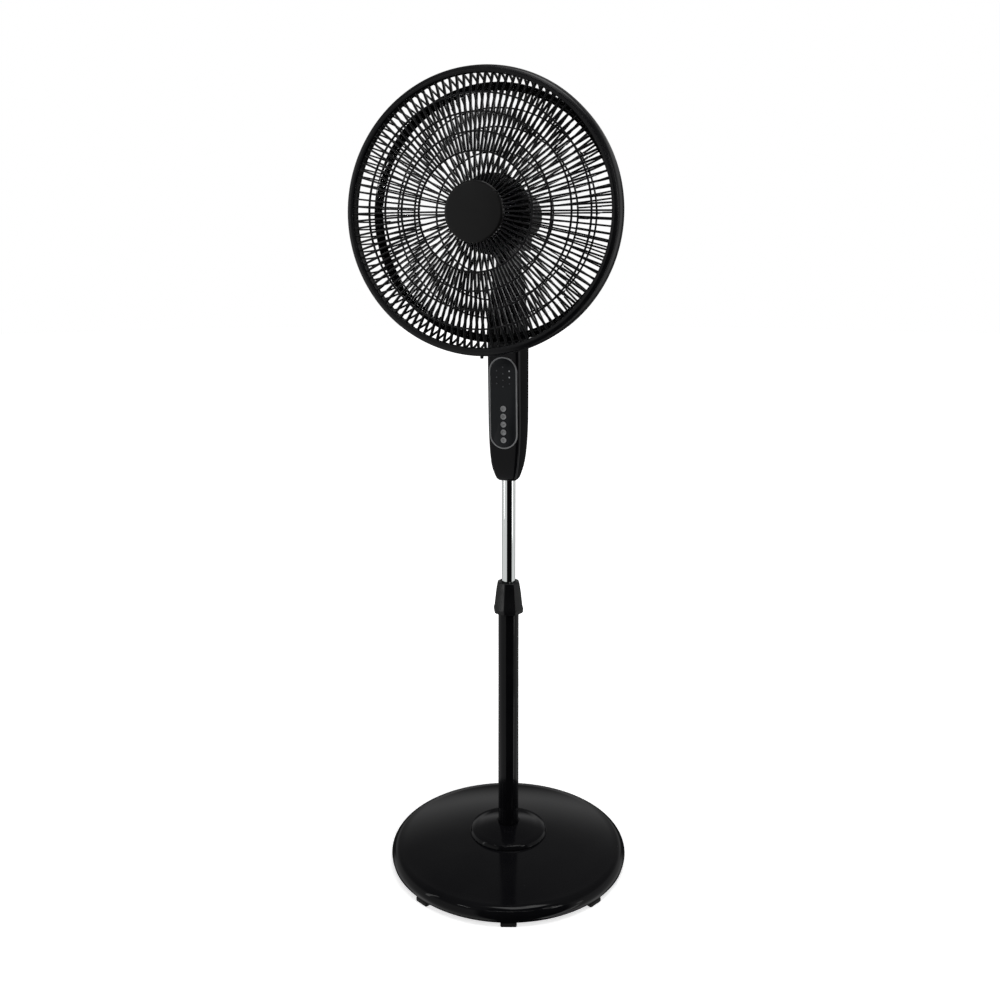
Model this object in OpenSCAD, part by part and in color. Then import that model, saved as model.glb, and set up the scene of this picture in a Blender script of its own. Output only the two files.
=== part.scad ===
// Pedestal fan with a weighted round base, a telescopic pole, a control column
// and an oscillating head. Millimetres, +Z up, and the air is blown towards -Y.
// The origin is the centre of the base on the floor.

/* [Base] */
// Radius of the round base
base_r = 203; // [190:1:212]
// Height of the base cover where it meets the trim disc
base_top_z = 46; // [44:1:50]
// Radius of the trim disc around the pole
trim_r = 67; // [62:1:75]
// Number of rubber feet
feet = 8; // [4:1:10]

/* [Pole] */
// Radius of the lower, fixed tube
outer_pole_r = 17.5; // [17.5:0.5:18.5]
// Top of the lower tube
outer_pole_top = 447; // [440:1:460]
// Radius of the upper, sliding tube
inner_pole_r = 11.7; // [11.2:0.1:11.7]

/* [Control column] */
// Width of the column
column_w = 54; // [52:1:58]
// Backward lean of the control panel, in degrees
panel_lean = 2; // [0:0.5:3]
// Length of the control panel
panel_h = 155; // [150:1:158]
// Width of the control panel
panel_w = 48.8; // [46:0.2:49.6]
// Number of control keys
keys = 5; // [3:1:5]
// Distance from one key to the next
key_pitch = 13.3; // [12.6:0.1:13.6]

/* [Head] */
// Height of the blade axis above the floor
axis_z = 1114; // [1113:1:1117]
// Radius of the cage
cage_r = 221.5; // [215:0.5:225]
// Distance from the pole's axis forward to the cage's widest edge
cage_y = 150; // [149:1:153]
// Number of spokes in each grille's outer zone (half as many reach the hub)
spokes = 56; // [28:28:112]
// Number of blades
blades = 5; // [3:1:5]
// Radius of the blade tips
blade_r = 184; // [170:1:186]

/* [Hidden] */
$fn = 64;
fit_gap = 0.05;          // between a shaft and its bore
wall = 2.4;              // moulded shells
tilt_z = 999;            // tilt axis
black = [0.03, 0.03, 0.035];
charcoal = [0.11, 0.12, 0.13];
steel = [0.6, 0.61, 0.63];
zinc = [0.55, 0.56, 0.58];

// Points of an arc, for outlines
function arc(c, r, a0, a1, n = 8) =
    [for (i = [0:n]) let (a = a0 + (a1 - a0) * i / n) [c[0] + r * cos(a), c[1] + r * sin(a)]];

// Children turned so that their +Z runs towards -Y, out of the front of the head,
// and moved up to the blade axis
module on_axis() translate([0, 0, axis_z]) rotate([90, 0, 0]) children();

// A tube or solid ring on the blade axis; front and back are distances ahead of the pole
module axis_ring(r, bore, back, front)
    on_axis() difference() {
        translate([0, 0, back]) cylinder(r = r, h = front - back);
        if (bore > 0) translate([0, 0, back - 1]) cylinder(r = bore, h = front - back + 2);
    }

module ring(r, bore, z0, z1)
    difference() {
        translate([0, 0, z0]) cylinder(r = r, h = z1 - z0);
        translate([0, 0, z0 - 1]) cylinder(r = bore, h = z1 - z0 + 2);
    }

// ---- Base -------------------------------------------------------------------

foot_h = 5;
plate_t = 3;
weight_z = foot_h + plate_t;      // the weight lies on the base plate
weight_t = 12;
weight_r = 180;
flange_t = 4;
flange_r = 50;
socket_z = weight_z + weight_t;   // underside of the pole socket
shoulder_drop = 15;               // from the trim disc down to the shoulder

// Height of the cover's top surface at radius r: a slightly crowned slope
function cover_z(r) = let (t = (r - 56) / (base_r - 15 - 56))
    base_top_z - shoulder_drop * (0.35 * t + 0.65 * t * t);

module base_cover() {
    slope = [for (i = [0:10]) let (r = 56 + (base_r - 71) * i / 10) [r, cover_z(r)]];
    shoulder = arc([base_r - 15, cover_z(base_r - 15) - 15], 15, 82, 0, 8);
    outer = concat(slope, shoulder, [[base_r - 2, 7]]);
    inner = [for (i = [len(outer) - 1:-1:0]) let (p = outer[i])
        [p[0] - (p[0] > base_r - 14 ? wall : 0), i == len(outer) - 1 ? 7 : p[1] - wall]];
    color(black) rotate_extrude($fn = 180) polygon(concat(outer, inner));
}

module base_plate()
    color(charcoal) difference() {
        translate([0, 0, foot_h]) cylinder(r = base_r - 6, h = plate_t, $fn = 180);
        translate([0, 0, foot_h - 1]) cylinder(r = 30, h = plate_t + 2);
    }

module base_weight()
    color([0.5, 0.5, 0.48]) difference() {
        translate([0, 0, weight_z]) cylinder(r = weight_r, h = weight_t, $fn = 120);
        translate([0, 0, weight_z - 1]) cylinder(r = 28, h = 7);
        translate([0, 0, weight_z]) cylinder(r = 6, h = weight_t + 1);
        for (k = [0:3]) rotate(45 + 90 * k) translate([38, 0, weight_z + 2]) cylinder(r = 2.5, h = 20);
    }

module base_feet()
    color(black) for (k = [0:feet - 1]) rotate(18 - 90 + 360 / feet * k)
        translate([base_r - 7, 0, foot_h / 2]) intersection() {
            cube([10, 28, foot_h], center = true);
            cylinder(r = 14, h = foot_h + 1, center = true);
        }

module pole_socket()
    color(zinc) difference() {
        union() {
            translate([0, 0, socket_z]) cylinder(r = flange_r, h = flange_t);
            translate([0, 0, socket_z]) cylinder(r = outer_pole_r + 3.5, h = 30);
        }
        translate([0, 0, socket_z + flange_t]) cylinder(r = outer_pole_r + fit_gap, h = 40);
        translate([0, 0, socket_z - 1]) cylinder(r = 6, h = 10);
        for (k = [0:3]) rotate(45 + 90 * k) translate([38, 0, socket_z - 1]) cylinder(r = 2.8, h = 10);
    }

module socket_screws()
    color(steel) for (k = [0:3]) rotate(45 + 90 * k) translate([38, 0, 0]) difference() {
        union() {
            translate([0, 0, weight_z + 3]) cylinder(r = 2.45, h = weight_t + flange_t - 3 + 1);
            translate([0, 0, socket_z + flange_t]) cylinder(r = 4.6, h = 3);
        }
        translate([0, 0, socket_z + flange_t + 2]) cube([6, 1.2, 2.4], center = true);
    }

module trim_disc() {
    z = base_top_z;
    outer = [[trim_r, z], [trim_r, z + 1.2], [trim_r - 1.4, z + 3.2], [61, z + 6.6], [53, z + 9.4],
             [43, z + 12], [31, z + 14.4], [21, z + 16], [18.4, z + 16.2]];
    inner = [[17.7, z + 15.8], [17.7, z + 13.6], [30, z + 12], [42, z + 9.6], [52, z + 7],
             [59.6, z + 4.4], [trim_r - 3, z + 1.2], [trim_r - 3, z]];
    color(black) rotate_extrude($fn = 120) polygon(concat(outer, inner));
}

module pole_bolt()
    color(steel) union() {
        translate([0, 0, 6]) cylinder(r = 9.2, h = 6, $fn = 6);
        translate([0, 0, 11]) cylinder(r = 4.95, h = 37);
    }

module bolt_washer() color(steel) ring(24, 5.3, 12, 14);

// ---- Pole -------------------------------------------------------------------

tube_t = 1.2;
outer_pole_z = socket_z + flange_t;
plug_h = 30;
sleeve_z = 341;
collet_top = outer_pole_top + 31;
collar_z = outer_pole_top - 8;
collar_top = collar_z + 54;

module outer_pole() color(black) ring(outer_pole_r, outer_pole_r - tube_t, outer_pole_z, outer_pole_top);

module pole_plug()
    color(zinc) ring(outer_pole_r - tube_t - fit_gap, 4.95 + fit_gap, outer_pole_z, outer_pole_z + plug_h);

// Plastic sleeve that guides the sliding tube, with four collet fingers on top
module guide_sleeve()
    color(charcoal) difference() {
        union() {
            translate([0, 0, sleeve_z])
                cylinder(r = outer_pole_r - tube_t - fit_gap, h = outer_pole_top - sleeve_z + 1);
            translate([0, 0, outer_pole_top]) cylinder(r = outer_pole_r, h = 5);
            translate([0, 0, outer_pole_top + 4])
                cylinder(r1 = 15.4, r2 = 14, h = collet_top - outer_pole_top - 4);
        }
        translate([0, 0, sleeve_z - 1]) cylinder(r = inner_pole_r + fit_gap, h = 200);
        for (a = [0, 90]) rotate(a) translate([0, 0, collet_top]) cube([50, 2, 40], center = true);
    }

// Eight flat facets, tapered like a lantern, with a facet turned to the front right
module collar_body() {
    half = [[-24.4, collar_z + 3], [-25.2, collar_z + 8], [-21, collar_top - 14], [-18, collar_top],
            [18, collar_top], [21, collar_top - 14], [25.2, collar_z + 8], [24.4, collar_z + 3]];
    intersection_for (a = [22.5:45:157.5])
        rotate(a) rotate([90, 0, 0]) translate([0, 0, -40]) linear_extrude(80) polygon(half);
}

module height_collar()
    color(black) difference() {
        union() {
            collar_body();
            translate([0, 0, collar_z]) cylinder(r = 23.6, h = 5);
        }
        translate([0, 0, collar_z - 1]) cylinder(r = outer_pole_r + 0.08, h = 15);
        translate([0, 0, collar_z]) cylinder(r = 16.2, h = collet_top - collar_z + 2);
        translate([0, 0, collar_z]) cylinder(r = inner_pole_r + 0.5, h = 60);
    }

inner_pole_z = 240;
inner_pole_top = 720;

module inner_pole()
    color([0.8, 0.8, 0.82]) ring(inner_pole_r, inner_pole_r - 1, inner_pole_z, inner_pole_top);

module pole_stop()
    color(charcoal) ring(outer_pole_r - tube_t - 0.4, inner_pole_r, inner_pole_z, inner_pole_z + 22);

// ---- Control column ---------------------------------------------------------

column_z = 670;
panel_z = 804;           // middle of the control panel
panel_y = -29.2;         // its face there
head_r = 21;             // rounded top of the column, about the tilt axis
lean_slope = tan(panel_lean);

function front_y(z) = panel_y - (z - panel_z) * lean_slope;

// Side view of the column as [y, z], pulled in by e
function column_side(e) = concat(
    [[-13 + e, column_z + e], [-18 + e, column_z + 7 + e / 2], [-23 + e, column_z + 20],
     [front_y(705) + e, 705], [front_y(905) + e, 905]],
    arc([0, tilt_z], head_r - e, 180, 0, 18),
    [[29 - e, 945], [33 - e, 900], [33 - e, 780], [31.5 - e, 740], [28.5 - e, 710], [24 - e, 690],
     [18 - e, column_z + 7 + e / 2], [13 - e, column_z + e]]);

// Front view of the column as [x, z], right half first, pulled in by e
function column_half(e) = [
    [12.5 - e, column_z + e], [17 - e, column_z + 8 + e / 2], [20.5 - e, 690], [22.8 - e, 702],
    [24.8 - e, 720], [26.2 - e, 741], [column_w / 2 - e, 765], [column_w / 2 - e, 905],
    [column_w / 2 - 1 - e, 955], [column_w / 2 - 2.4 - e, 1000], [column_w / 2 - 6 - e, tilt_z + head_r]];
function mirrored(pts) = concat(pts, [for (i = [len(pts) - 1:-1:0]) [-pts[i][0], pts[i][1]]]);

// Plan of the column as [x, y]: tight corners in front, wide ones behind
function column_plan(e) = let (x = column_w / 2 - e) concat(
    arc([x - 5, -37 + e + 5], 5, 0, -90, 5), arc([5 - x, -37 + e + 5], 5, -90, -180, 5),
    arc([18 + e - x, 15], 18 - e, 180, 90, 8), arc([x - 18 - e, 15], 18 - e, 90, 0, 8));

module column_form(e = 0)
    intersection() {
        rotate([90, 0, 0]) translate([0, 0, -60]) linear_extrude(120) polygon(mirrored(column_half(e)));
        rotate([90, 0, 90]) translate([0, 0, -60]) linear_extrude(120) polygon(column_side(e));
        translate([0, 0, column_z - 1]) linear_extrude(400) polygon(column_plan(e));
    }

// Children on the leaning panel: +X to the right, +Z up it, and -Y out of it
module on_panel() translate([0, panel_y, panel_z]) rotate([panel_lean, 0, 0]) children();

// A slab with round ends standing in the panel's plane, from y0 back to y1
module stadium(w, h, y0, y1)
    translate([0, y1, 0]) rotate([90, 0, 0]) linear_extrude(y1 - y0) union() {
        square([w, h - w], center = true);
        for (s = [-1, 1]) translate([0, s * (h - w) / 2]) circle(d = w);
    }

key_r = 5;
key_top = -9.5;          // height of the first key on the panel
function key_z(k) = key_top - key_pitch * (k - 1);
lamp_rows = [[-11, 54], [-11, 43.4], [-11, 32.8], [0, 60.5], [0, 49.4], [0, 38.6], [0, 27.8],
             [11, 54], [11, 43.4], [11, 32.8]];
module lamp_holes(r, y0, y1)
    for (p = lamp_rows) translate([p[0], y1, p[1]]) rotate([90, 0, 0])
        cylinder(r = r, h = y1 - y0, $fn = 24);

module column_shell()
    difference() {
        column_form();
        column_form(wall);
        // the sliding tube comes in at the bottom
        translate([0, 0, column_z - 5]) cylinder(r = inner_pole_r + 0.4, h = 20);
        // the neck leaves through a slot in the round top
        translate([-13.6, -13.5, tilt_z]) cube([27.2, 29.5, 40]);
        // pocket and window for the control panel
        on_panel() stadium(panel_w + 0.2, panel_h + 0.2, -8, 1.2);
        on_panel() stadium(41, panel_h - 8, -8, 8);
        // clamp screw, cord gland and screws in the back
        translate([0, 40, 705]) rotate([90, 0, 0]) cylinder(r = 3.3, h = 30);
        translate([0, 50, 745]) rotate([90, 0, 0]) cylinder(r = 4.6, h = 30);
        for (p = column_screw_places) translate([p[0], 50, p[1]]) rotate([90, 0, 0]) {
            cylinder(r = 2, h = 30);
            cylinder(r = 4, h = 18.6);
        }
    }
column_screw_places = [[-15, 775], [15, 775], [-15, 905], [15, 905]];

module column_front() color(black) intersection() {
    column_shell();
    translate([-50, -49.9, 600]) cube([100, 51.9, 500]);
}

module column_rear() color(black) union() {
    intersection() {
        column_shell();
        translate([-50, 2.1, 600]) cube([100, 60, 500]);
    }
    for (p = column_screw_places) difference() {
        translate([p[0], 31.4, p[1]]) rotate([90, 0, 0]) cylinder(r = 4, h = 12);
        translate([p[0], 33, p[1]]) rotate([90, 0, 0]) cylinder(r = 2, h = 20);
    }
}

module column_screws()
    color(steel) for (p = column_screw_places) translate([p[0], 0, p[1]]) rotate([-90, 0, 0]) difference() {
        union() {
            translate([0, 0, 17]) cylinder(r = 1.8, h = 15);
            translate([0, 0, 31.4]) cylinder(r = 3.6, h = 1.8);
        }
        translate([0, 0, 33]) cube([5, 1, 1.6], center = true);
    }

shelf_z = tilt_z - 31;   // shelf that carries the two tilt ears

// Structural core: it holds the sliding tube below and the tilt ears above
module column_core()
    color(zinc) difference() {
        union() {
            translate([0, 0, 692]) cylinder(r = 15, h = shelf_z + 2 - 692);
            translate([-17, -12, shelf_z]) cube([34, 24, 6]);
            for (s = [-1, 1]) hull() {
                translate([s * 15 - 1.7, -9, shelf_z + 4]) cube([3.4, 18, 1]);
                translate([s * 15, 0, tilt_z]) rotate([0, 90, 0])
                    cylinder(r = 9, h = 3.4, center = true, $fn = 32);
            }
        }
        translate([0, 0, 690]) cylinder(r = inner_pole_r + fit_gap, h = inner_pole_top - 690);
        translate([0, 0, 700]) cylinder(r = 10, h = shelf_z - 690);
        translate([-30, 0, tilt_z]) rotate([0, 90, 0]) cylinder(r = 4, h = 60);
        translate([0, 40, 705]) rotate([90, 0, 0]) cylinder(r = 3.05, h = 40);
    }

module clamp_screw()
    color(black) translate([0, 0, 705]) rotate([-90, 0, 0]) union() {
        translate([0, 0, inner_pole_r]) cylinder(r = 3, h = 20);
        translate([0, 0, 30]) cylinder(r = 8, h = 7);
        for (k = [0:5]) rotate(60 * k) translate([7, 0, 30]) cylinder(r = 2, h = 7);
    }

module cord_gland()
    color(black) translate([0, 0, 745]) rotate([-90, 0, 0]) difference() {
        union() {
            translate([0, 0, 26]) cylinder(r = 4.5, h = 10);
            translate([0, 0, 32]) cylinder(r = 6.5, h = 2.4);
            translate([0, 0, 34]) cylinder(r1 = 5.6, r2 = 4.4, h = 5);
        }
        translate([0, 0, 20]) cylinder(r = 3, h = 30);
    }

module control_panel()
    color(charcoal) on_panel() difference() {
        stadium(panel_w - 4.8, panel_h - 4.8, -0.4, 1.1);
        for (k = [1:keys]) translate([0, 3, key_z(k)]) rotate([90, 0, 0]) cylinder(r = key_r + 0.35, h = 6);
        lamp_holes(1.35, -3, 3);
    }

module panel_trim()
    color([0.62, 0.63, 0.65]) on_panel() difference() {
        stadium(panel_w, panel_h, -0.8, 1.1);
        stadium(panel_w - 4.7, panel_h - 4.7, -3, 3);
    }

module indicator_lenses()
    color([0.75, 0.78, 0.8]) on_panel() union() {
        lamp_holes(1.3, -0.6, 2.4);
        for (x = [-11, 0, 11]) translate([x - 2, 2.2, x == 0 ? 26 : 31]) cube([4, 1.2, x == 0 ? 36.5 : 25]);
    }

module control_board()
    color([0.1, 0.3, 0.18]) on_panel() translate([-18, 9.6, -70]) cube([36, 1.6, 140]);

module key_switches()
    color(charcoal) on_panel() for (k = [1:keys]) translate([-3, 5.9, key_z(k) - 3]) cube([6, 3.7, 6]);

module ir_receiver() color(black) on_panel() translate([8, 4.6, 60]) cube([6, 5, 7]);

// A key: a round cap with a raised rim, and a flange that stops behind the panel
module key(k)
    color([0.55, 0.56, 0.58]) on_panel() translate([0, 0, key_z(k)]) rotate([90, 0, 0]) difference() {
        union() {
            translate([0, 0, -4.7]) cylinder(r = key_r, h = 6);
            translate([0, 0, -3]) cylinder(r = 6.1, h = 1.4);
        }
        translate([0, 0, 1]) cylinder(r = key_r - 0.8, h = 1);
    }

module key_1() key(1);
module key_2() key(2);
module key_3() key(3);
module key_4() key(4);
module key_5() key(5);

module tilt_bolt()
    color(steel) translate([0, 0, tilt_z]) rotate([0, 90, 0]) union() {
        translate([0, 0, -18]) cylinder(r = 4 - fit_gap, h = 38);
        translate([0, 0, -20]) cylinder(r = 6.5, h = 3.2, $fn = 6);
    }

module tilt_nut()
    color(steel) translate([16.75, 0, tilt_z]) rotate([0, 90, 0]) difference() {
        cylinder(r = 6.4, h = 3.2, $fn = 6);
        translate([0, 0, -1]) cylinder(r = 4, h = 6);
    }

// ---- Neck -------------------------------------------------------------------

turret_top = tilt_z + 59;
lug = [14, 3];           // where the swing link is pinned to the neck
clip_z = turret_top + 10.4;

module neck_block()
    color(black) difference() {
        union() {
            // collar that covers the column's round top
            intersection() {
                translate([0, 0, tilt_z]) linear_extrude(49) union() {
                    square([38, 24], center = true);
                    square([24, 38], center = true);
                    for (x = [-12, 12], y = [-12, 12]) translate([x, y]) circle(r = 7);
                }
                difference() {
                    rotate([90, 0, 0]) translate([0, 0, -30]) linear_extrude(60)
                        polygon([[-19, tilt_z - 5], [-18.4, tilt_z + 25], [-16.4, tilt_z + 49],
                                 [16.4, tilt_z + 49], [18.4, tilt_z + 25], [19, tilt_z - 5]]);
                    translate([-30, 0, tilt_z]) rotate([0, 90, 0]) cylinder(r = head_r + 1, h = 60);
                    translate([-40, -40, tilt_z - 10]) cube([80, 80, 16]);
                }
            }
            translate([0, 0, turret_top - 11]) cylinder(r = 17, h = 11);
            // knuckle on the tilt bolt, and the stem up to the collar
            translate([-13, 0, tilt_z]) rotate([0, 90, 0]) cylinder(r = 12, h = 26);
            translate([-13, -9, tilt_z]) cube([26, 18, 40]);
            translate([lug[0], lug[1], turret_top - 2]) cylinder(r = 2, h = 9);
        }
        translate([-20, 0, tilt_z]) rotate([0, 90, 0]) cylinder(r = 4, h = 40);
        translate([0, 0, turret_top - 34]) cylinder(r = 6, h = 50);
    }

module swing_post()
    color(steel) difference() {
        translate([0, 0, turret_top - 34]) cylinder(r = 6, h = 46);
        ring(7, 5, clip_z - 0.05, clip_z + 1.05);
    }

module post_clip() color(steel) ring(7.6, 5.05, clip_z, clip_z + 1);

// ---- Motor and swing drive (on the head) ------------------------------------

motor_r = 50;            // outside of the motor covers
motor_y = 27;            // middle of the motor, ahead of the pole
cover_seam = 10;         // where the two covers meet, ahead of the pole
cover_front = motor_y + 50;
cover_back = -95;
frame_r = 41;
hub_front = 84;          // front face of the rear grille's hub plate
screw_seat = 90;         // seat of the rear cover's long screw, behind the pole
box_z = turret_top - 2;  // underside of the swing drive's box

// Children placed from the middle of the motor, +Z forward
module on_motor() on_axis() translate([0, 0, motor_y]) children();

module motor_ring(r, bore, back, front) axis_ring(r, bore, motor_y + back, motor_y + front);

// Bullet-shaped motor housing with a box below for the swing drive, pulled in by e
module motor_form(e) union() {
    on_axis() rotate_extrude($fn = 120) polygon(concat(
        [[0, cover_front - e], [motor_r - 4, cover_front - e]],
        arc([motor_r - 4, cover_front - 4], 4 - e, 90, 0, 4),
        [for (i = [0:16]) let (a = 90 * i / 16)
            [(motor_r - e) * cos(a), -5 + (cover_back + 5 + e) * sin(a)]]));
    translate([0, 0, box_z + e]) linear_extrude(30 - e) union() {
        translate([0, 55]) circle(r = 21 - e);
        translate([0, -4]) circle(r = 21 - e);
        translate([e - 21, -4]) square([42 - 2 * e, 59]);
    }
}

module motor_covers()
    difference() {
        motor_form(0);
        motor_form(wall);
        // opening round the neck
        translate([0, 0, box_z - 12]) cylinder(r = 19, h = 28);
        // cooling slots round the back
        for (k = [0:11]) on_axis() rotate(30 * k + 15) translate([20, -1.6, -120]) cube([17, 3.2, 58]);
    }

module motor_front_cover()
    color(black) difference() {
        union() {
            intersection() {
                motor_covers();
                on_axis() translate([0, 0, cover_seam]) cylinder(r = 80, h = 80);
            }
            axis_ring(62, 14, cover_front - wall, hub_front - 3);
            axis_ring(14, 8, cover_front - wall, hub_front + 6);
            on_motor() for (a = [0:90:270]) rotate(a) translate([28, 0, 38]) cylinder(r = 4.2, h = 11);
        }
        on_motor() translate([0, 0, 20]) cylinder(r = 12.5, h = 31);
        on_motor() translate([0, 0, 20]) cylinder(r = 6, h = 60);
        on_motor() for (a = [0:90:270]) rotate(a) translate([28, 0, 30]) cylinder(r = 2, h = 40);
        on_motor() for (a = [0:90:270]) rotate(a) translate([28, 0, 51]) cylinder(r = 3.8, h = 10);
    }

module motor_rear_cover()
    color(black) difference() {
        union() {
            intersection() {
                motor_covers();
                on_axis() translate([0, 0, -120]) cylinder(r = 80, h = 120 + cover_seam - 0.2);
            }
            axis_ring(5, 0, -screw_seat - 2, motor_y - 46);
        }
        on_axis() translate([0, 0, -120]) cylinder(r = 2, h = 80 + motor_y);
        on_axis() translate([0, 0, -120]) cylinder(r = 4.2, h = 120 - screw_seat);
    }

// Screws of the motor covers: four into the front frame and a long one at the back
module cover_screws()
    color(steel) union() {
        on_motor() for (a = [0:90:270]) rotate(a) translate([28, 0, 0]) {
            translate([0, 0, 35]) cylinder(r = 1.9, h = 17);
            translate([0, 0, 51]) cylinder(r = 3.6, h = 2.4);
        }
        on_axis() translate([0, 0, -screw_seat]) cylinder(r = 1.9, h = screw_seat + motor_y - 42);
        on_axis() translate([0, 0, -screw_seat - 2.4]) cylinder(r = 3.6, h = 2.4);
    }

// Front casting: bearing boss, cup, and the foot that turns on the swing post
module motor_front_frame()
    color(zinc) difference() {
        union() {
            motor_ring(frame_r, frame_r - 2.5, 8, 38);
            motor_ring(frame_r, 8, 35, 38);
            motor_ring(12, 8, 30, 43);
            translate([-13, -62, turret_top + 11]) cube([26, 50, 7]);
            translate([-12.5, -17, turret_top + 8.5]) cube([25, 30, 4.5]);
            translate([0, 0, turret_top + 0.4]) cylinder(r = 9, h = 9);
        }
        translate([0, 0, turret_top]) cylinder(r = 6.05, h = 12);
        translate([0, 0, clip_z - 0.4]) cylinder(r = 8.2, h = 5);
        on_motor() translate([0, 0, -20]) cylinder(r = 38.3, h = 54.9);
        on_motor() for (a = [45:90:315]) rotate(a) translate([34, 0, 30]) cylinder(r = 2, h = 20);
        on_motor() for (a = [0:90:270]) rotate(a) translate([28, 0, 30]) cylinder(r = 1.95, h = 20);
    }

// Rear casting, with a tab behind for the swing motor
module motor_rear_frame()
    color(zinc) difference() {
        union() {
            motor_ring(frame_r, frame_r - 2.5, -40, -18);
            motor_ring(frame_r, 8, -40, -37);
            motor_ring(12, 8, -40, -30);
            motor_ring(11, 0, -46, -40);
            translate([-8, 12, turret_top + 27]) cube([16, 41, 2.5]);
        }
        on_motor() for (a = [45:90:315]) rotate(a) translate([34, 0, -50]) cylinder(r = 2, h = 20);
        on_motor() translate([0, 0, -50]) cylinder(r = 1.95, h = 9.5);
    }

module motor_stator()
    color([0.35, 0.36, 0.38]) difference() {
        motor_ring(38, 20.6, -18, 8);
        for (k = [0:15]) on_motor() rotate(22.5 * k) translate([19, -1.5, -30]) cube([10, 3, 60]);
        on_motor() for (a = [45:90:315]) rotate(a) translate([34, 0, -30]) cylinder(r = 2, h = 60);
    }

// Wound coils standing out of each end of the stator
module motor_windings()
    color([0.72, 0.4, 0.2]) for (y = [-19 - 9, 9]) on_motor() translate([0, 0, y])
        rotate_extrude($fn = 48) polygon(arc([27, 4.5], 4.4, 0, 345, 20));

module motor_bearings()
    color([0.7, 0.55, 0.3]) union() {
        motor_ring(8, 4 + fit_gap, 31, 42);
        motor_ring(8, 4 + fit_gap, -39, -31);
    }

// Through bolts that clamp the two frames on the stator, with nuts behind
module motor_bolts()
    color(steel) on_motor() for (a = [45:90:315]) rotate(a) translate([34, 0, 0]) union() {
        translate([0, 0, -43]) cylinder(r = 1.95, h = 82);
        translate([0, 0, 38]) cylinder(r = 3.4, h = 2.4);
        translate([0, 0, -42.4]) cylinder(r = 3.4, h = 2.4, $fn = 6);
    }

module motor_capacitor()
    color([0.8, 0.8, 0.78]) translate([-16, 19, axis_z + 16]) cube([32, 14, 16]);

crank_y = 56;
crank_throw = 9.2;
crank_start = 9.64;      // direction of the crank pin at rest, in degrees from +X
link_start = 95.16;      // direction of the link at rest
link_l = 54.76;

module swing_motor()
    color(charcoal) translate([0, crank_y, 0]) difference() {
        translate([0, 0, turret_top + 13]) cylinder(r = 15, h = 14);
        translate([0, 0, turret_top + 12]) cylinder(r = 2.55, h = 10);
    }

module swing_crank()
    color([0.8, 0.8, 0.78]) translate([0, crank_y, 0]) union() {
        translate([0, 0, turret_top + 9]) cylinder(r = 12.4, h = 3);
        translate([0, 0, turret_top + 10]) cylinder(r = 2.5, h = 11);
        rotate(crank_start) translate([crank_throw, 0, turret_top + 3.5]) cylinder(r = 1.6, h = 7);
    }

// The eye on the crank pin is left open wide, so the link keeps clear as both turn
module swing_link()
    color(steel) translate([lug[0], lug[1], turret_top + 4.5]) rotate(link_start) difference() {
        union() {
            cylinder(r = 4, h = 2.4);
            translate([0, -2.5, 0]) cube([link_l, 5, 2.4]);
            translate([link_l, 0, 0]) cylinder(r = 6, h = 2.4);
        }
        translate([0, 0, -1]) cylinder(r = 2 + fit_gap, h = 5);
        translate([link_l, 0, -1]) cylinder(r = 4.2, h = 5);
    }

// ---- Cage -------------------------------------------------------------------

spoke_w = 2.2;
skirt_back = cage_y - 20;    // where the front ring's skirt ends
// Spoke lines as [radius, distance ahead of the pole], from the rim in to the hub
front_line = [[cage_r - 11, cage_y + 4], [178.5, cage_y + 10], [149.5, cage_y + 14], [120, cage_y + 18],
              [91, cage_y + 19], [50, cage_y + 19.6]];
rear_line = [[cage_r - 4, skirt_back - 5], [cage_r - 5, skirt_back - 14], [210, hub_front + 12],
             [203, hub_front + 0.4], [193, hub_front - 8.6], [166.5, hub_front - 9.4], [137, hub_front - 8.4],
             [98, hub_front - 6.4], [64, hub_front - 1.6]];

// A strip of thickness t that follows a line of [radius, height] points
function strip(line, t) = let (
    n = len(line) - 1,
    side = [for (i = [0:n]) let (d = line[min(i + 1, n)] - line[max(i - 1, 0)])
        [-d[1], d[0]] / norm(d) * t / 2])
    concat([for (i = [0:n]) line[i] + side[i]], [for (i = [n:-1:0]) line[i] - side[i]]);

module spoke_set(line, t, n)
    for (k = [0:n - 1]) rotate(360 / n * k)
        rotate([90, 0, 0]) translate([0, 0, -spoke_w / 2]) linear_extrude(spoke_w) polygon(strip(line, t));

module hoop(r, h, w = 2.2, t = 3)
    rotate_extrude($fn = 120) translate([r - w / 2, h - t / 2]) square([w, t]);

module front_grille() {
    r = cage_r;
    f = cage_y;
    rim = concat([[r - 3.4, skirt_back], [r - 1, skirt_back], [r, f - 8]], arc([r - 9, f - 1], 9, 0, 90, 6),
                 [[r - 12.4, f + 7.4], [r - 13.6, f + 5.6], [r - 13.6, f], [r - 10.6, f],
                  [r - 10.6, f + 4.4], [r - 9, f + 5], [r - 4.8, f + 3.2], [r - 3.1, f - 1]]);
    color(black) on_axis() difference() {
        union() {
            rotate_extrude($fn = 180) polygon(rim);
            spoke_set([for (i = [0:4]) front_line[i]], 3.4, spokes);
            spoke_set([front_line[4], front_line[5]], 3.4, spokes / 2);
            for (i = [1:4]) hoop(front_line[i][0], front_line[i][1]);
            ring(53, 30, f + 18, f + 21);
        }
        translate([0, -r + 4.2, skirt_back + 6]) rotate([90, 0, 0]) cylinder(r = 2.1, h = 8);
    }
}

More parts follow.
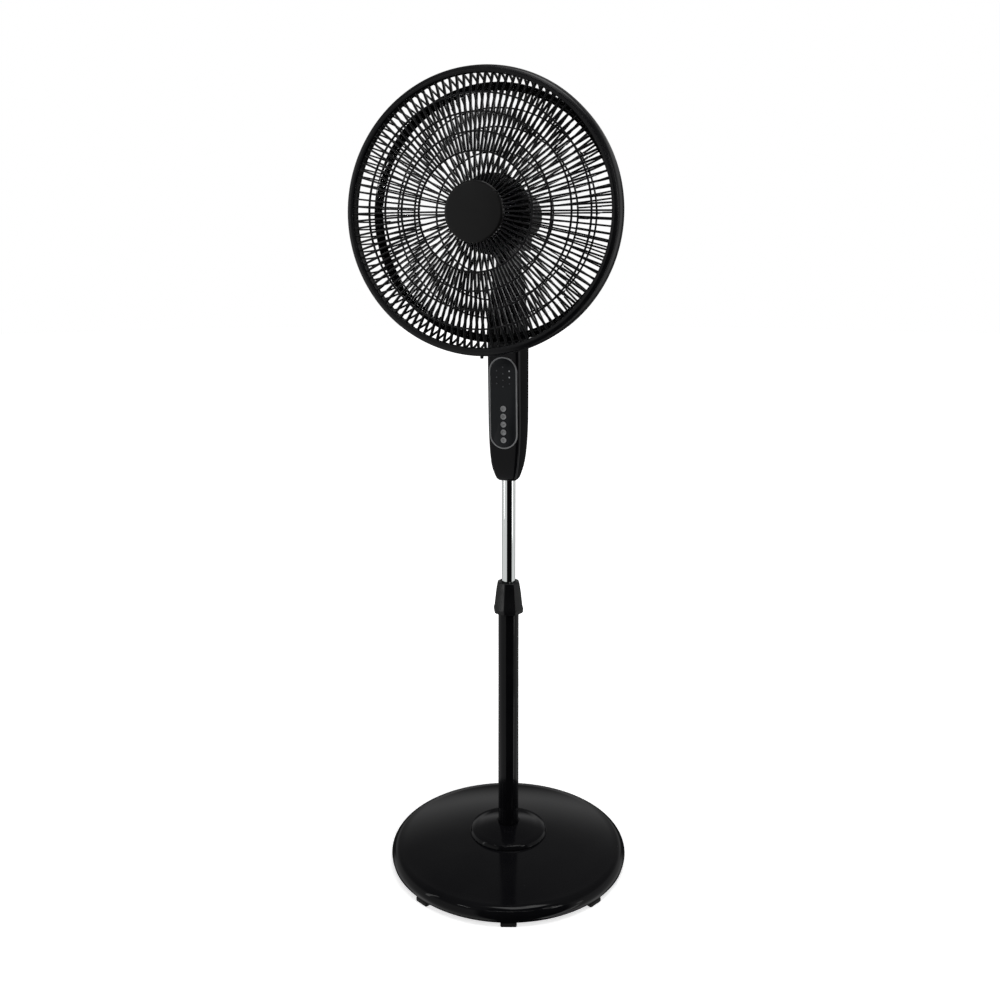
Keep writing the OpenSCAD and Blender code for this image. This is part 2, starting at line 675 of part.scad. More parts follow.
module rear_grille()
    color(black) on_axis() difference() {
        union() {
            rotate_extrude($fn = 180) polygon([[cage_r - 1.5, skirt_back - 0.3], [cage_r - 1.5, skirt_back - 8],
                [cage_r - 6.5, skirt_back - 8], [cage_r - 6.5, skirt_back + 12], [cage_r - 4, skirt_back + 12],
                [cage_r - 4, skirt_back - 0.3]]);
            spoke_set(rear_line, 2.4, spokes);
            rotate_extrude($fn = 180) polygon([[203.5, hub_front + 2], [192.4, hub_front - 7.6],
                [194, hub_front - 9.6], [205.1, hub_front]]);
            for (i = [5:7]) hoop(rear_line[i][0], rear_line[i][1]);
            translate([0, 0, hub_front - 3]) cylinder(r = 65, h = 3);
        }
        translate([0, 0, hub_front - 10]) cylinder(r = 14.1, h = 20);
        translate([0, -cage_r + 8, skirt_back + 6]) rotate([90, 0, 0]) cylinder(r = 1.85, h = 9);
    }

module grille_nut()
    color(black) on_axis() difference() {
        union() {
            translate([0, 0, hub_front]) cylinder(r = 26, h = 5);
            for (k = [0:11]) rotate(30 * k) translate([26, 0, hub_front]) cylinder(r = 2, h = 5);
        }
        translate([0, 0, hub_front - 1]) cylinder(r = 14.05, h = 10);
    }

module grille_cap()
    color([0.1, 0.1, 0.105]) on_axis() rotate_extrude($fn = 96) polygon([
        [0, cage_y + 21], [47, cage_y + 21], [47, cage_y + 23], [46, cage_y + 24], [43, cage_y + 24.6],
        [0, cage_y + 26]]);

// Screw that locks the two grilles together at the bottom of the rim
module grille_screw()
    color(black) on_axis() translate([0, -cage_r, skirt_back + 6]) rotate([90, 0, 0]) union() {
        translate([0, 0, -6]) cylinder(r = 1.8, h = 6.5);
        translate([0, 0, 0.1]) cylinder(r = 2.6, h = 4.4);
    }

// ---- Rotor ------------------------------------------------------------------

hub_back = hub_front + 9;    // back of the blades' hub
blade_mid = hub_back + 28;   // middle of the blades, ahead of the pole

module motor_shaft()
    color(steel) difference() {
        axis_ring(4, 0, motor_y - 39.5, hub_back + 54);
        translate([-10, -hub_back - 2, axis_z]) rotate([0, 90, 0]) cylinder(r = 1.55, h = 20);
    }

module motor_rotor() color([0.5, 0.51, 0.53]) motor_ring(20, 4, -18, 8);

module drive_pin()
    color(steel) translate([-10, -hub_back - 2, axis_z]) rotate([0, 90, 0]) cylinder(r = 1.5, h = 20);

// One blade: a flat outline that is wide at the tip, set at an angle to the plane of turning
module blade_outline()
    polygon(concat([[20, -16], [60, -34], [110, -50], [150, -56]], arc([150, -22], 34, -90, -8, 8),
                   arc([138, 18], 46, -14, 84, 10), [[100, 54], [60, 36], [20, 16]]));

module fan_blade()
    color([0.75, 0.8, 0.85, 0.4]) on_axis() difference() {
        union() {
            intersection() {
                for (k = [0:blades - 1]) rotate(90 + 360 / blades * k) translate([0, 0, blade_mid])
                    rotate([24, 0, 0]) translate([0, 0, -1.1]) linear_extrude(2.2) blade_outline();
                translate([0, 0, blade_mid - 24]) cylinder(r = blade_r, h = 48, $fn = 120);
            }
            translate([0, 0, hub_back]) cylinder(r = 32, h = 44);
        }
        translate([0, 0, hub_back - 1]) cylinder(r = 4, h = 80);
        translate([-10.2, -1.6, hub_back - 1]) cube([20.4, 3.2, 4.6]);
        translate([0, 0, hub_back + 6]) ring(29.5, 9, 0, 60);
    }

module blade_nut()
    color(black) on_axis() difference() {
        union() {
            translate([0, 0, hub_back + 44]) cylinder(r = 15, h = 9);
            for (k = [0:7]) rotate(45 * k) translate([15, 0, hub_back + 44]) cylinder(r = 2, h = 9);
        }
        translate([0, 0, hub_back + 40]) cylinder(r = 4, h = 30);
    }

base_cover();
base_plate();
base_weight();
base_feet();
pole_socket();
socket_screws();
trim_disc();
pole_bolt();
bolt_washer();
outer_pole();
pole_plug();
guide_sleeve();
height_collar();
inner_pole();
pole_stop();
column_core();
column_front();
column_rear();
control_panel();
panel_trim();
indicator_lenses();
control_board();
key_switches();
ir_receiver();
key_1();
key_2();
key_3();
key_4();
key_5();
column_screws();
clamp_screw();
cord_gland();
tilt_bolt();
tilt_nut();
neck_block();
swing_post();
post_clip();
motor_front_cover();
motor_rear_cover();
motor_front_frame();
motor_rear_frame();
motor_stator();
motor_windings();
motor_bearings();
motor_bolts();
cover_screws();
motor_capacitor();
swing_motor();
swing_crank();
swing_link();
rear_grille();
grille_nut();
front_grille();
grille_cap();
grille_screw();
motor_shaft();
motor_rotor();
drive_pin();
fan_blade();
blade_nut();
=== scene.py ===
"""Looks of a pedestal fan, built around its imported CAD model.

Shapes are written in millimetres and placed by a matrix that turns them into the row frame's metres.
+Z is up and the head blows towards -Y. Heights and radii come from the CAD nodes' boxes.
"""
import math

import bmesh
import bpy
from mathutils import Matrix, Vector


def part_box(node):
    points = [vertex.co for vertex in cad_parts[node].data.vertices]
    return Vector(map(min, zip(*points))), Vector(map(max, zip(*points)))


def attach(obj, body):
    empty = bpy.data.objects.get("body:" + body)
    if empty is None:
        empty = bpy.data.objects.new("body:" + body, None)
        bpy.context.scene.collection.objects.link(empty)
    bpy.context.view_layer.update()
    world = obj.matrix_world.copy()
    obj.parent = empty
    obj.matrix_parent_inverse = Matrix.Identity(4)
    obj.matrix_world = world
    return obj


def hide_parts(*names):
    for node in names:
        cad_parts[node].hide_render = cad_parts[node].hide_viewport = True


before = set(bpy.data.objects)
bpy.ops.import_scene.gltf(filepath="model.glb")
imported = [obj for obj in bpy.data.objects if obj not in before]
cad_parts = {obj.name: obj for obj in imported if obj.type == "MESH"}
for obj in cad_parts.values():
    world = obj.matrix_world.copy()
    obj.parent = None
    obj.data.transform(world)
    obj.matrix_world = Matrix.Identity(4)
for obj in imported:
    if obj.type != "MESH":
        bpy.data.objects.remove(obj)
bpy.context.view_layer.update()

TURN = 2 * math.pi
ROW = Matrix.Scale(0.001, 4)


def box_mm(node):
    """Lowest and highest corner of a CAD node, in millimetres."""
    low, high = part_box(node)
    return low * 1000, high * 1000


def middle_z(node):
    """Height of the middle of a CAD node, in millimetres."""
    low, high = box_mm(node)
    return (low.z + high.z) / 2


def moved(x=0.0, y=0.0, z=0.0):
    return Matrix.Translation((x, y, z))


def turned(degrees, axis):
    return Matrix.Rotation(math.radians(degrees), 4, axis)


# ---- Outlines ---------------------------------------------------------------


def arc(centre, radius, start, end, steps=8):
    """Points of an arc, with its angles in degrees."""
    points = []
    for i in range(steps + 1):
        a = math.radians(start + (end - start) * i / steps)
        points.append((centre[0] + radius * math.cos(a), centre[1] + radius * math.sin(a)))
    return points


def rounded(corners, radius, steps=4, closed=True):
    """The outline through the corners, each rounded by its own radius (0 keeps it sharp)."""
    radii = radius if isinstance(radius, (list, tuple)) else [radius] * len(corners)
    out = []
    count = len(corners)
    for i, (corner, r) in enumerate(zip(corners, radii)):
        p = Vector(corner)
        ends_here = not closed and i in (0, count - 1)
        if r <= 0 or ends_here:
            out.append(tuple(p))
            continue
        to_last = (Vector(corners[i - 1]) - p).normalized()
        to_next = (Vector(corners[(i + 1) % count]) - p).normalized()
        half = to_last.angle(to_next) / 2
        if half > math.pi / 2 - 0.01:
            out.append(tuple(p))
            continue
        centre = p + (to_last + to_next).normalized() * (r / math.sin(half))
        first = p + to_last * (r / math.tan(half)) - centre
        last = p + to_next * (r / math.tan(half)) - centre
        start = math.atan2(first.y, first.x)
        sweep = (math.atan2(last.y, last.x) - start + math.pi) % TURN - math.pi
        for s in range(steps + 1):
            a = start + sweep * s / steps
            out.append((centre.x + r * math.cos(a), centre.y + r * math.sin(a)))
    return out


def circle(radius, steps=32, centre=(0, 0)):
    return arc(centre, radius, 0, 360 - 360 / steps, steps - 1)


def bar_section(width, depth, radius):
    """A rounded rectangle about the origin."""
    w, d = width / 2, depth / 2
    return rounded([(-w, -d), (w, -d), (w, d), (-w, d)], radius, 2)


def stadium(width, height, steps=20):
    """An upright outline with round ends."""
    r = width / 2
    rise = height / 2 - r
    return arc((0, rise), r, 0, 180, steps) + arc((0, -rise), r, 180, 360, steps)


def between(table, at):
    """Value at a place in a rising table of (place, value), joined by straight lines."""
    if at <= table[0][0]:
        return table[0][1]
    for (a, low), (b, high) in zip(table, table[1:]):
        if at <= b:
            return low + (high - low) * (at - a) / (b - a)
    return table[-1][1]


def smooth_line(points, steps=4):
    """A curve through (radius, height) points that keeps its ends."""
    pts = [Vector(p) for p in points]
    out = []
    for i in range(len(pts) - 1):
        a = pts[max(i - 1, 0)]
        b, c = pts[i], pts[i + 1]
        d = pts[min(i + 2, len(pts) - 1)]
        for s in range(steps):
            t = s / steps
            out.append(0.5 * (2 * b + (c - a) * t + (2 * a - 5 * b + 4 * c - d) * t * t
                              + (3 * b - a - 3 * c + d) * t ** 3))
    out.append(pts[-1])
    return out


# ---- Mesh builders: each adds to a bmesh ------------------------------------


def join_rings(bm, rings, ring_closed=True, ends_joined=False):
    """Quads between neighbouring rings of vertices."""
    pairs = list(zip(rings, rings[1:]))
    if ends_joined:
        pairs.append((rings[-1], rings[0]))
    for a, b in pairs:
        count = len(a)
        for i in range(count if ring_closed else count - 1):
            j = (i + 1) % count
            bm.faces.new((a[i], a[j], b[j], b[i]))


def lathe(bm, outline, place, steps=96, closed=True):
    """Turns an outline of (radius, height) about Z. Its ends may lie on the axis."""
    rings = []
    for s in range(steps):
        spin = place @ Matrix.Rotation(TURN * s / steps, 4, "Z")
        rings.append([bm.verts.new(spin @ Vector((r, 0, z))) for r, z in outline])
    join_rings(bm, rings, ring_closed=closed, ends_joined=True)


def loft(bm, sections, place, ends="capped"):
    """Skin over sections of 3-D points, whose ends are capped, left open or joined to each other."""
    rings = [[bm.verts.new(place @ Vector(p)) for p in section] for section in sections]
    join_rings(bm, rings, ends_joined=ends == "joined")
    if ends == "capped":
        bm.faces.new(rings[0])
        bm.faces.new(rings[-1])


def prism(bm, outline, low, high, place, bevel=0.0):
    """An outline in X and Y between two heights, with its rims bevelled in two steps."""
    centre = sum((Vector(p) for p in outline), Vector((0, 0))) / len(outline)
    reach = max((Vector(p) - centre).length for p in outline)
    levels = [(low, 0), (high, 0)]
    if bevel:
        slight = bevel * 0.3
        levels = [(low, bevel), (low + slight, slight), (low + bevel, 0),
                  (high - bevel, 0), (high - slight, slight), (high, bevel)]
    sections = []
    for z, inset in levels:
        keep = 1 - inset / reach
        sections.append([(centre.x + (x - centre.x) * keep, centre.y + (y - centre.y) * keep, z)
                         for x, y in outline])
    loft(bm, sections, place)


def sweep(bm, path, section, side, place):
    """A section of (sideways, outwards) points carried along a path that lies square to side."""
    sections = []
    for i, p in enumerate(path):
        before = path[max(i - 1, 0)]
        after = path[min(i + 1, len(path) - 1)]
        out = (after - before).normalized().cross(side)
        sections.append([p + side * u + out * v for u, v in section])
    loft(bm, sections, place)


def hoop(bm, radius, height, section, place, steps):
    """A ring of the given section about the Z axis."""
    lathe(bm, [(radius + u, height + v) for u, v in section], place, steps)


# ---- Materials --------------------------------------------------------------


def graph(name):
    mat = bpy.data.materials.new(name)
    mat.use_nodes = True
    return mat, mat.node_tree.nodes, mat.node_tree.links, mat.node_tree.nodes["Principled BSDF"]


def coordinates(nodes, links, stretch=(1, 1, 1)):
    where = nodes.new("ShaderNodeTexCoord")
    mapping = nodes.new("ShaderNodeMapping")
    mapping.inputs["Scale"].default_value = stretch
    links.new(where.outputs["Object"], mapping.inputs["Vector"])
    return mapping.outputs["Vector"]


def noise(nodes, links, vector, scale, detail=3.0):
    tex = nodes.new("ShaderNodeTexNoise")
    tex.inputs["Scale"].default_value = scale
    tex.inputs["Detail"].default_value = detail
    links.new(vector, tex.inputs["Vector"])
    return tex.outputs["Fac"]


def ramp(nodes, links, value, stops):
    """Colour ramp with stops of (place, colour)."""
    node = nodes.new("ShaderNodeValToRGB")
    while len(node.color_ramp.elements) < len(stops):
        node.color_ramp.elements.new(0.5)
    for element, (place, colour) in zip(node.color_ramp.elements, stops):
        element.position = place
        element.color = (*colour, 1)
    links.new(value, node.inputs["Fac"])
    return node.outputs["Color"]


def spread(nodes, links, value, low, high):
    """Stretches a noise's usual range to the range from low to high."""
    node = nodes.new("ShaderNodeMapRange")
    node.inputs["From Min"].default_value = 0.3
    node.inputs["From Max"].default_value = 0.7
    node.inputs["To Min"].default_value = low
    node.inputs["To Max"].default_value = high
    links.new(value, node.inputs["Value"])
    return node.outputs["Result"]


def smooth_step(nodes, links, value, start, end, low, high):
    node = nodes.new("ShaderNodeMapRange")
    node.interpolation_type = "SMOOTHSTEP"
    for key, number in (("From Min", start), ("From Max", end), ("To Min", low), ("To Max", high)):
        node.inputs[key].default_value = number
    links.new(value, node.inputs["Value"])
    return node.outputs["Result"]


def bump(nodes, links, shader, height, strength, distance):
    node = nodes.new("ShaderNodeBump")
    node.inputs["Strength"].default_value = strength
    node.inputs["Distance"].default_value = distance
    links.new(height, node.inputs["Height"])
    links.new(node.outputs["Normal"], shader.inputs["Normal"])


def surface(name, dark, light, rough, metallic=0.0, patch=30.0, stretch=(1, 1, 1), grain=900.0,
            relief=0.1, depth=0.0002, specular=0.5):
    """A solid surface: its colour and gloss drift in patches, and a fine grain lies over it."""
    mat, nodes, links, shader = graph(name)
    vector = coordinates(nodes, links, stretch)
    patches = noise(nodes, links, vector, patch)
    links.new(ramp(nodes, links, patches, [(0.3, dark), (0.7, light)]), shader.inputs["Base Color"])
    links.new(spread(nodes, links, patches, *rough), shader.inputs["Roughness"])
    fine = noise(nodes, links, vector, grain, 2.0)
    bump(nodes, links, shader, fine, relief, depth)
    shader.inputs["Metallic"].default_value = metallic
    shader.inputs["Specular IOR Level"].default_value = specular
    return mat


def banded(name, dark, light, rough, metallic, bands, axis, relief, depth):
    """A surface of fine parallel bands: stacked sheets or wound wire."""
    mat, nodes, links, shader = graph(name)
    vector = coordinates(nodes, links)
    wave = nodes.new("ShaderNodeTexWave")
    wave.bands_direction = axis
    wave.inputs["Scale"].default_value = bands
    wave.inputs["Distortion"].default_value = 0.6
    wave.inputs["Detail"].default_value = 2.0
    links.new(vector, wave.inputs["Vector"])
    colour = ramp(nodes, links, wave.outputs["Fac"], [(0.1, dark), (0.8, light)])
    links.new(colour, shader.inputs["Base Color"])
    links.new(spread(nodes, links, noise(nodes, links, vector, 60), *rough), shader.inputs["Roughness"])
    bump(nodes, links, shader, wave.outputs["Fac"], relief, depth)
    shader.inputs["Metallic"].default_value = metallic
    return mat


def speckled(name, base, spots, scale, rough, relief, depth):
    """A surface with scattered cells of a second colour: cement, or a circuit board's pads."""
    mat, nodes, links, shader = graph(name)
    vector = coordinates(nodes, links)
    cells = nodes.new("ShaderNodeTexVoronoi")
    cells.inputs["Scale"].default_value = scale
    links.new(vector, cells.inputs["Vector"])
    colour = ramp(nodes, links, cells.outputs["Distance"], [(0.12, spots), (0.3, base)])
    links.new(colour, shader.inputs["Base Color"])
    fine = noise(nodes, links, vector, scale * 2)
    links.new(spread(nodes, links, fine, *rough), shader.inputs["Roughness"])
    bump(nodes, links, shader, fine, relief, depth)
    return mat


def clear_plastic(name, tint_low, tint_high):
    """Clear moulded plastic with a slight smoke tint and faint flow marks."""
    mat, nodes, links, shader = graph(name)
    vector = coordinates(nodes, links)
    patches = noise(nodes, links, vector, 12)
    tint = ramp(nodes, links, patches, [(0.3, tint_low), (0.7, tint_high)])
    links.new(tint, shader.inputs["Base Color"])
    links.new(spread(nodes, links, patches, 0.01, 0.03), shader.inputs["Roughness"])
    bump(nodes, links, shader, patches, 0.05, 0.0005)
    shader.inputs["Transmission Weight"].default_value = 1.0
    shader.inputs["IOR"].default_value = 1.12
    return mat


def lit_lens(name, dark, light, glow):
    """A frosted light guide that glows faintly."""
    mat, nodes, links, shader = graph(name)
    vector = coordinates(nodes, links)
    patches = noise(nodes, links, vector, 800)
    colour = ramp(nodes, links, patches, [(0.3, dark), (0.7, light)])
    links.new(colour, shader.inputs["Base Color"])
    links.new(spread(nodes, links, patches, 0.3, 0.45), shader.inputs["Roughness"])
    links.new(colour, shader.inputs["Emission Color"])
    shader.inputs["Emission Strength"].default_value = glow
    return mat


NEAR_BLACK = ((0.004, 0.004, 0.005), (0.007, 0.007, 0.008))
GLOSS = surface("gloss_black", *NEAR_BLACK, (0.05, 0.10), patch=14, grain=140, relief=0.03, depth=0.0003,
                specular=0.15)
BASE_GLOSS = surface("base_gloss_black", *NEAR_BLACK, (0.06, 0.13), patch=10, grain=90, relief=0.03,
                     depth=0.0003, specular=0.13)
POLE_COAT = surface("pole_black", *NEAR_BLACK, (0.07, 0.13), patch=25, grain=260, relief=0.05,
                    depth=0.0002, specular=0.15)
SATIN = surface("satin_black", (0.009, 0.009, 0.010), (0.014, 0.014, 0.015), (0.34, 0.46),
                patch=35, grain=1500, relief=0.25, depth=0.0001, specular=0.3)
CAP_SATIN = surface("cap_satin_black", (0.004, 0.004, 0.004), (0.007, 0.007, 0.007), (0.26, 0.34),
                    patch=25, grain=2200, relief=0.15, depth=0.0001, specular=0.22)
COLLAR = surface("collar_black", (0.007, 0.007, 0.008), (0.011, 0.011, 0.012), (0.16, 0.24),
                 patch=40, grain=1200, relief=0.15, depth=0.0001, specular=0.25)
RIB_BLACK = surface("grille_black", *NEAR_BLACK, (0.22, 0.32), patch=30, grain=700, relief=0.12,
                    depth=0.0001, specular=0.2)
CHROME = surface("chrome", (0.80, 0.83, 0.82), (0.88, 0.91, 0.90), (0.03, 0.09), metallic=1.0,
                 patch=60, stretch=(1, 1, 0.05), grain=900, relief=0.02, depth=0.0001)
CHARCOAL = surface("panel_charcoal", (0.008, 0.010, 0.012), (0.012, 0.014, 0.017), (0.34, 0.42),
                   patch=40, grain=2500, relief=0.2, depth=0.00006, specular=0.25)
SILVER = surface("panel_silver", (0.26, 0.265, 0.27), (0.33, 0.335, 0.34), (0.3, 0.4), metallic=0.5,
                 patch=60, grain=2000, relief=0.1, depth=0.00005)
KEY_SILVER = surface("key_silver", (0.34, 0.345, 0.35), (0.42, 0.425, 0.43), (0.35, 0.45), metallic=0.3,
                     patch=120, grain=2500, relief=0.15, depth=0.00005)
KEY_INK = surface("key_ink", (0.02, 0.02, 0.022), (0.035, 0.035, 0.038), (0.4, 0.5),
                  patch=200, grain=3000, relief=0.1, depth=0.00005)
LENS = surface("lamp_lens", (0.10, 0.105, 0.115), (0.15, 0.155, 0.165), (0.2, 0.3), patch=300, grain=2500,
               relief=0.1, depth=0.00005)
LENS_LIT = lit_lens("lamp_lens_lit", (0.42, 0.44, 0.46), (0.55, 0.57, 0.6), 0.25)
RUBBER = surface("rubber", (0.008, 0.008, 0.008), (0.016, 0.016, 0.016), (0.65, 0.8),
                 patch=60, grain=1200, relief=0.4, depth=0.0002, specular=0.3)
STEEL = surface("zinc_plated_steel", (0.42, 0.43, 0.44), (0.6, 0.61, 0.62), (0.25, 0.4), metallic=1.0,
                patch=80, stretch=(1, 1, 0.2), grain=1500, relief=0.1, depth=0.0001)
CASTING = surface("light_alloy_casting", (0.35, 0.36, 0.37), (0.48, 0.49, 0.5), (0.45, 0.6), metallic=0.9,
                  patch=50, grain=900, relief=0.5, depth=0.0002)
BRONZE = surface("oiled_bronze", (0.42, 0.29, 0.14), (0.58, 0.42, 0.22), (0.35, 0.5), metallic=1.0,
                 patch=120, grain=2500, relief=0.3, depth=0.0001)
DARK_NYLON = surface("dark_nylon", (0.025, 0.025, 0.027), (0.04, 0.04, 0.042), (0.4, 0.55),
                     patch=50, grain=1200, relief=0.2, depth=0.0001)
WHITE_NYLON = surface("white_nylon", (0.68, 0.67, 0.63), (0.78, 0.77, 0.73), (0.35, 0.5),
                      patch=50, grain=1200, relief=0.2, depth=0.0001)
LAMINATIONS = banded("laminations", (0.1, 0.1, 0.11), (0.32, 0.33, 0.35), (0.4, 0.55),
                     0.9, 160, "Y", 0.5, 0.0002)
WINDINGS = banded("copper_windings", (0.25, 0.09, 0.03), (0.72, 0.34, 0.16), (0.25, 0.4),
                  0.9, 260, "X", 0.8, 0.0003)
CEMENT = speckled("cement", (0.36, 0.355, 0.34), (0.22, 0.215, 0.2), 160, (0.8, 0.95), 0.6, 0.0005)
BOARD = speckled("circuit_board", (0.02, 0.12, 0.06), (0.5, 0.48, 0.36), 260, (0.3, 0.45), 0.2, 0.0001)
CLEAR = clear_plastic("clear_blade", (0.955, 0.96, 0.965), (0.975, 0.98, 0.985))


# ---- Pieces -----------------------------------------------------------------

SAME_POINT = 2e-6       # metres: vertices closer than this are one


def as_object(name, bm):
    """An object made of the bmesh, which is used up."""
    mesh = bpy.data.meshes.new(name)
    bm.to_mesh(mesh)
    bm.free()
    obj = bpy.data.objects.new(name, mesh)
    bpy.context.scene.collection.objects.link(obj)
    return obj


def as_bmesh(obj):
    """A bmesh of the object with its modifiers applied."""
    bpy.context.view_layer.update()
    evaluated = obj.evaluated_get(bpy.context.evaluated_depsgraph_get())
    bm = bmesh.new()
    bm.from_mesh(evaluated.to_mesh())
    evaluated.to_mesh_clear()
    return bm


def discard(obj):
    mesh = obj.data
    bpy.data.objects.remove(obj)
    bpy.data.meshes.remove(mesh)


def sharpen(mesh, degrees):
    """Smooth shading that breaks at edges sharper than the angle."""
    limit = math.radians(degrees)
    bm = bmesh.new()
    bm.from_mesh(mesh)
    for face in bm.faces:
        face.smooth = True
    for edge in bm.edges:
        edge.smooth = len(edge.link_faces) == 2 and edge.calc_face_angle(0) < limit
    bm.to_mesh(mesh)
    bm.free()


def piece(name, bm, material, body, replaces=(), sharp=32, bevel=0.0):
    """Makes an object of the bmesh that rides on a body and stands for CAD nodes."""
    bmesh.ops.remove_doubles(bm, verts=bm.verts, dist=SAME_POINT)
    bmesh.ops.dissolve_degenerate(bm, edges=bm.edges, dist=SAME_POINT / 2)
    bmesh.ops.recalc_face_normals(bm, faces=bm.faces)
    obj = as_object(name, bm)
    sharpen(obj.data, sharp)
    obj.data.materials.append(material)
    if bevel:
        mod = obj.modifiers.new("rims", "BEVEL")
        mod.width = bevel
        mod.segments = 2
        mod.limit_method = "ANGLE"
        mod.angle_limit = math.radians(sharp)
        mod.harden_normals = True
    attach(obj, body)
    if replaces:
        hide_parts(*replaces)
    return obj


def carved(bm, cutters):
    """The bmesh with other closed bmeshes cut out of it, by exact booleans."""
    made = []
    for shape in [bm] + cutters:
        bmesh.ops.remove_doubles(shape, verts=shape.verts, dist=SAME_POINT)
        bmesh.ops.recalc_face_normals(shape, faces=shape.faces)
        made.append(as_object("carving", shape))
    body = made[0]
    for cutter in made[1:]:
        mod = body.modifiers.new("cut", "BOOLEAN")
        mod.operation = "DIFFERENCE"
        mod.solver = "EXACT"
        mod.object = cutter
    solid = as_bmesh(body)
    for obj in made:
        discard(obj)
    return solid


# ---- Base -------------------------------------------------------------------


def make_base_cover():
    """A shallow dome with a round shoulder and a lip, open underneath."""
    low, high = box_mm("base_cover")
    radius = high.x
    shoulder = 15.0
    hub = 56.0      # where the slope starts, under the trim disc
    drop = 15.0     # from there to the shoulder
    wall = 2.4
    span = radius - shoulder - hub
    steps = 16

    def top(r):
        t = (r - hub) / span
        return high.z - drop * (0.35 * t + 0.65 * t * t)

    slope = [(hub + span * i / steps, top(hub + span * i / steps)) for i in range(steps + 1)]
    edge = top(radius - shoulder)
    bend = arc((radius - shoulder, edge - shoulder), shoulder, 84, 0, 14)
    lip = [(radius - 0.6, low.z + 5), (radius - 1.6, low.z + 3.6), (radius - 1.8, low.z + 0.8),
           (radius - 2.6, low.z), (radius - 4, low.z)]
    inside = [(radius - 4.4, edge - shoulder), (radius - shoulder, edge - wall)]
    inside += [(r, z - wall) for r, z in reversed(slope)]
    bm = bmesh.new()
    lathe(bm, slope + bend + lip + inside, ROW, 192)
    piece("base_cover_shell", bm, BASE_GLOSS, "base", ["base_cover"])


def make_trim_disc():
    """A low dome round the pole, with a steep edge."""
    low, high = box_mm("trim_disc")
    r, z = high.x, low.z
    pole = box_mm("outer_pole")[1].x
    dome = smooth_line([(r - 4.2, z + 6.9), (58, z + 8.6), (51, z + 10.2), (42, z + 12.3), (31, z + 14.4),
                        (22, z + 15.8)], 5)
    outer = [(r - 0.5, z + 0.1), (r, z + 0.5), (r - 0.1, z + 1.2), (r - 2.3, z + 5.4), (r - 2.9, z + 6.3)]
    outer += [tuple(p) for p in dome]
    outer += [(pole + 1.3, high.z), (pole + 0.5, high.z - 0.2), (pole + 0.2, high.z - 0.7)]
    inner = [(pole + 0.2, z + 13.6), (30, z + 12), (42, z + 9.6), (52, z + 7), (59.6, z + 4.4),
             (r - 3, z + 1.2), (r - 3, z + 0.1)]
    bm = bmesh.new()
    lathe(bm, outer + inner, ROW, 160)
    piece("trim_disc_shell", bm, BASE_GLOSS, "base", ["trim_disc"])


def make_feet():
    """Rubber blocks with a rounded tread."""
    low, high = box_mm("base_feet")
    count = 8
    reach = 196
    first = 18 - 90     # one foot is 18 degrees to the right of the front
    bm = bmesh.new()
    for k in range(count):
        place = ROW @ turned(first + 360 / count * k, "Z") @ moved(x=reach)
        outline = rounded([(-4.9, -13), (4.9, -13), (4.9, 13), (-4.9, 13)], 2.2, 4)
        prism(bm, outline, low.z, high.z + 1, place, 0.9)
    piece("rubber_feet", bm, RUBBER, "base", ["base_feet"])


def make_poles():
    """The fixed lower tube and the chrome one that slides in it."""
    for node, name, wall, edge, material, slot, body in (
            ("outer_pole", "lower_tube", 1.2, 0.4, POLE_COAT, "pole_black", "base"),
            ("inner_pole", "sliding_tube", 1, 0.35, CHROME, "chrome", "column")):
        low, high = box_mm(node)
        r = high.x
        bm = bmesh.new()
        lathe(bm, rounded([(r - wall, low.z), (r, low.z), (r, high.z), (r - wall, high.z)], edge, 3), ROW, 96)
        piece(name, bm, material, body, [node])


def make_collar():
    """Height collar: eight facets with soft edges, flared to a lip at the bottom."""
    low, high = box_mm("height_collar")
    sides = 8
    widths = [(0, 23.4), (1.2, 24.4), (6, 24.9), (8.5, 24.6), (10, 23.6), (38, 20.6), (50, 18.6), (52.6, 18),
              (53.7, 16.9)]
    bore = box_mm("inner_pole")[1].x + 0.6

    def ring(half, softness, z):
        reach = half / math.cos(math.pi / sides)
        corners = [(reach * math.cos(TURN * (k + 0.5) / sides), reach * math.sin(TURN * (k + 0.5) / sides))
                   for k in range(sides)]
        return [(x, y, z) for x, y in rounded(corners, softness, 5)]

    sections = [ring(16.2, 15.5, low.z + 0.4)]
    sections += [ring(half, 7.5 if rise < 9 else 2.6 + 0.02 * rise, low.z + rise) for rise, half in widths]
    sections += [ring(15.8, 6, high.z - 0.1), ring(13.6, 9, high.z - 1.6), ring(bore, bore - 0.2, high.z - 4),
                 ring(bore, bore - 0.2, low.z + 45), ring(16.2, 15.5, low.z + 41)]
    bm = bmesh.new()
    loft(bm, sections, ROW @ turned(180 / sides, "Z"), "joined")
    piece("height_collar_knob", bm, COLLAR, "collar", ["height_collar"], sharp=26)


# ---- Control column ---------------------------------------------------------

COLUMN_LOW, COLUMN_HIGH = box_mm("column_rear")
TILT_Z = middle_z("tilt_bolt")
TOP_R = COLUMN_HIGH.z - TILT_Z      # of the round top, about the tilt axis
PANEL_LEAN = 2.0                    # degrees, backwards
PANEL_Z = middle_z("panel_trim")
PANEL_Y = -29.2
CHIN = 40           # the front's curve under the panel ends at this height above the foot
BROW_Z = 905        # above this the front swells out to the round top
CORD_Z, CORD_R = 705, 3.3
CLAMP_Z, CLAMP_R = 745, 4.6
COLUMN_WALL = 2.4
SEAM_Y, SEAM_GAP = 2.0, 0.16


def front_y(z):
    """The column's flat front, which leans back a little."""
    return PANEL_Y - (z - PANEL_Z) * math.tan(math.radians(PANEL_LEAN))


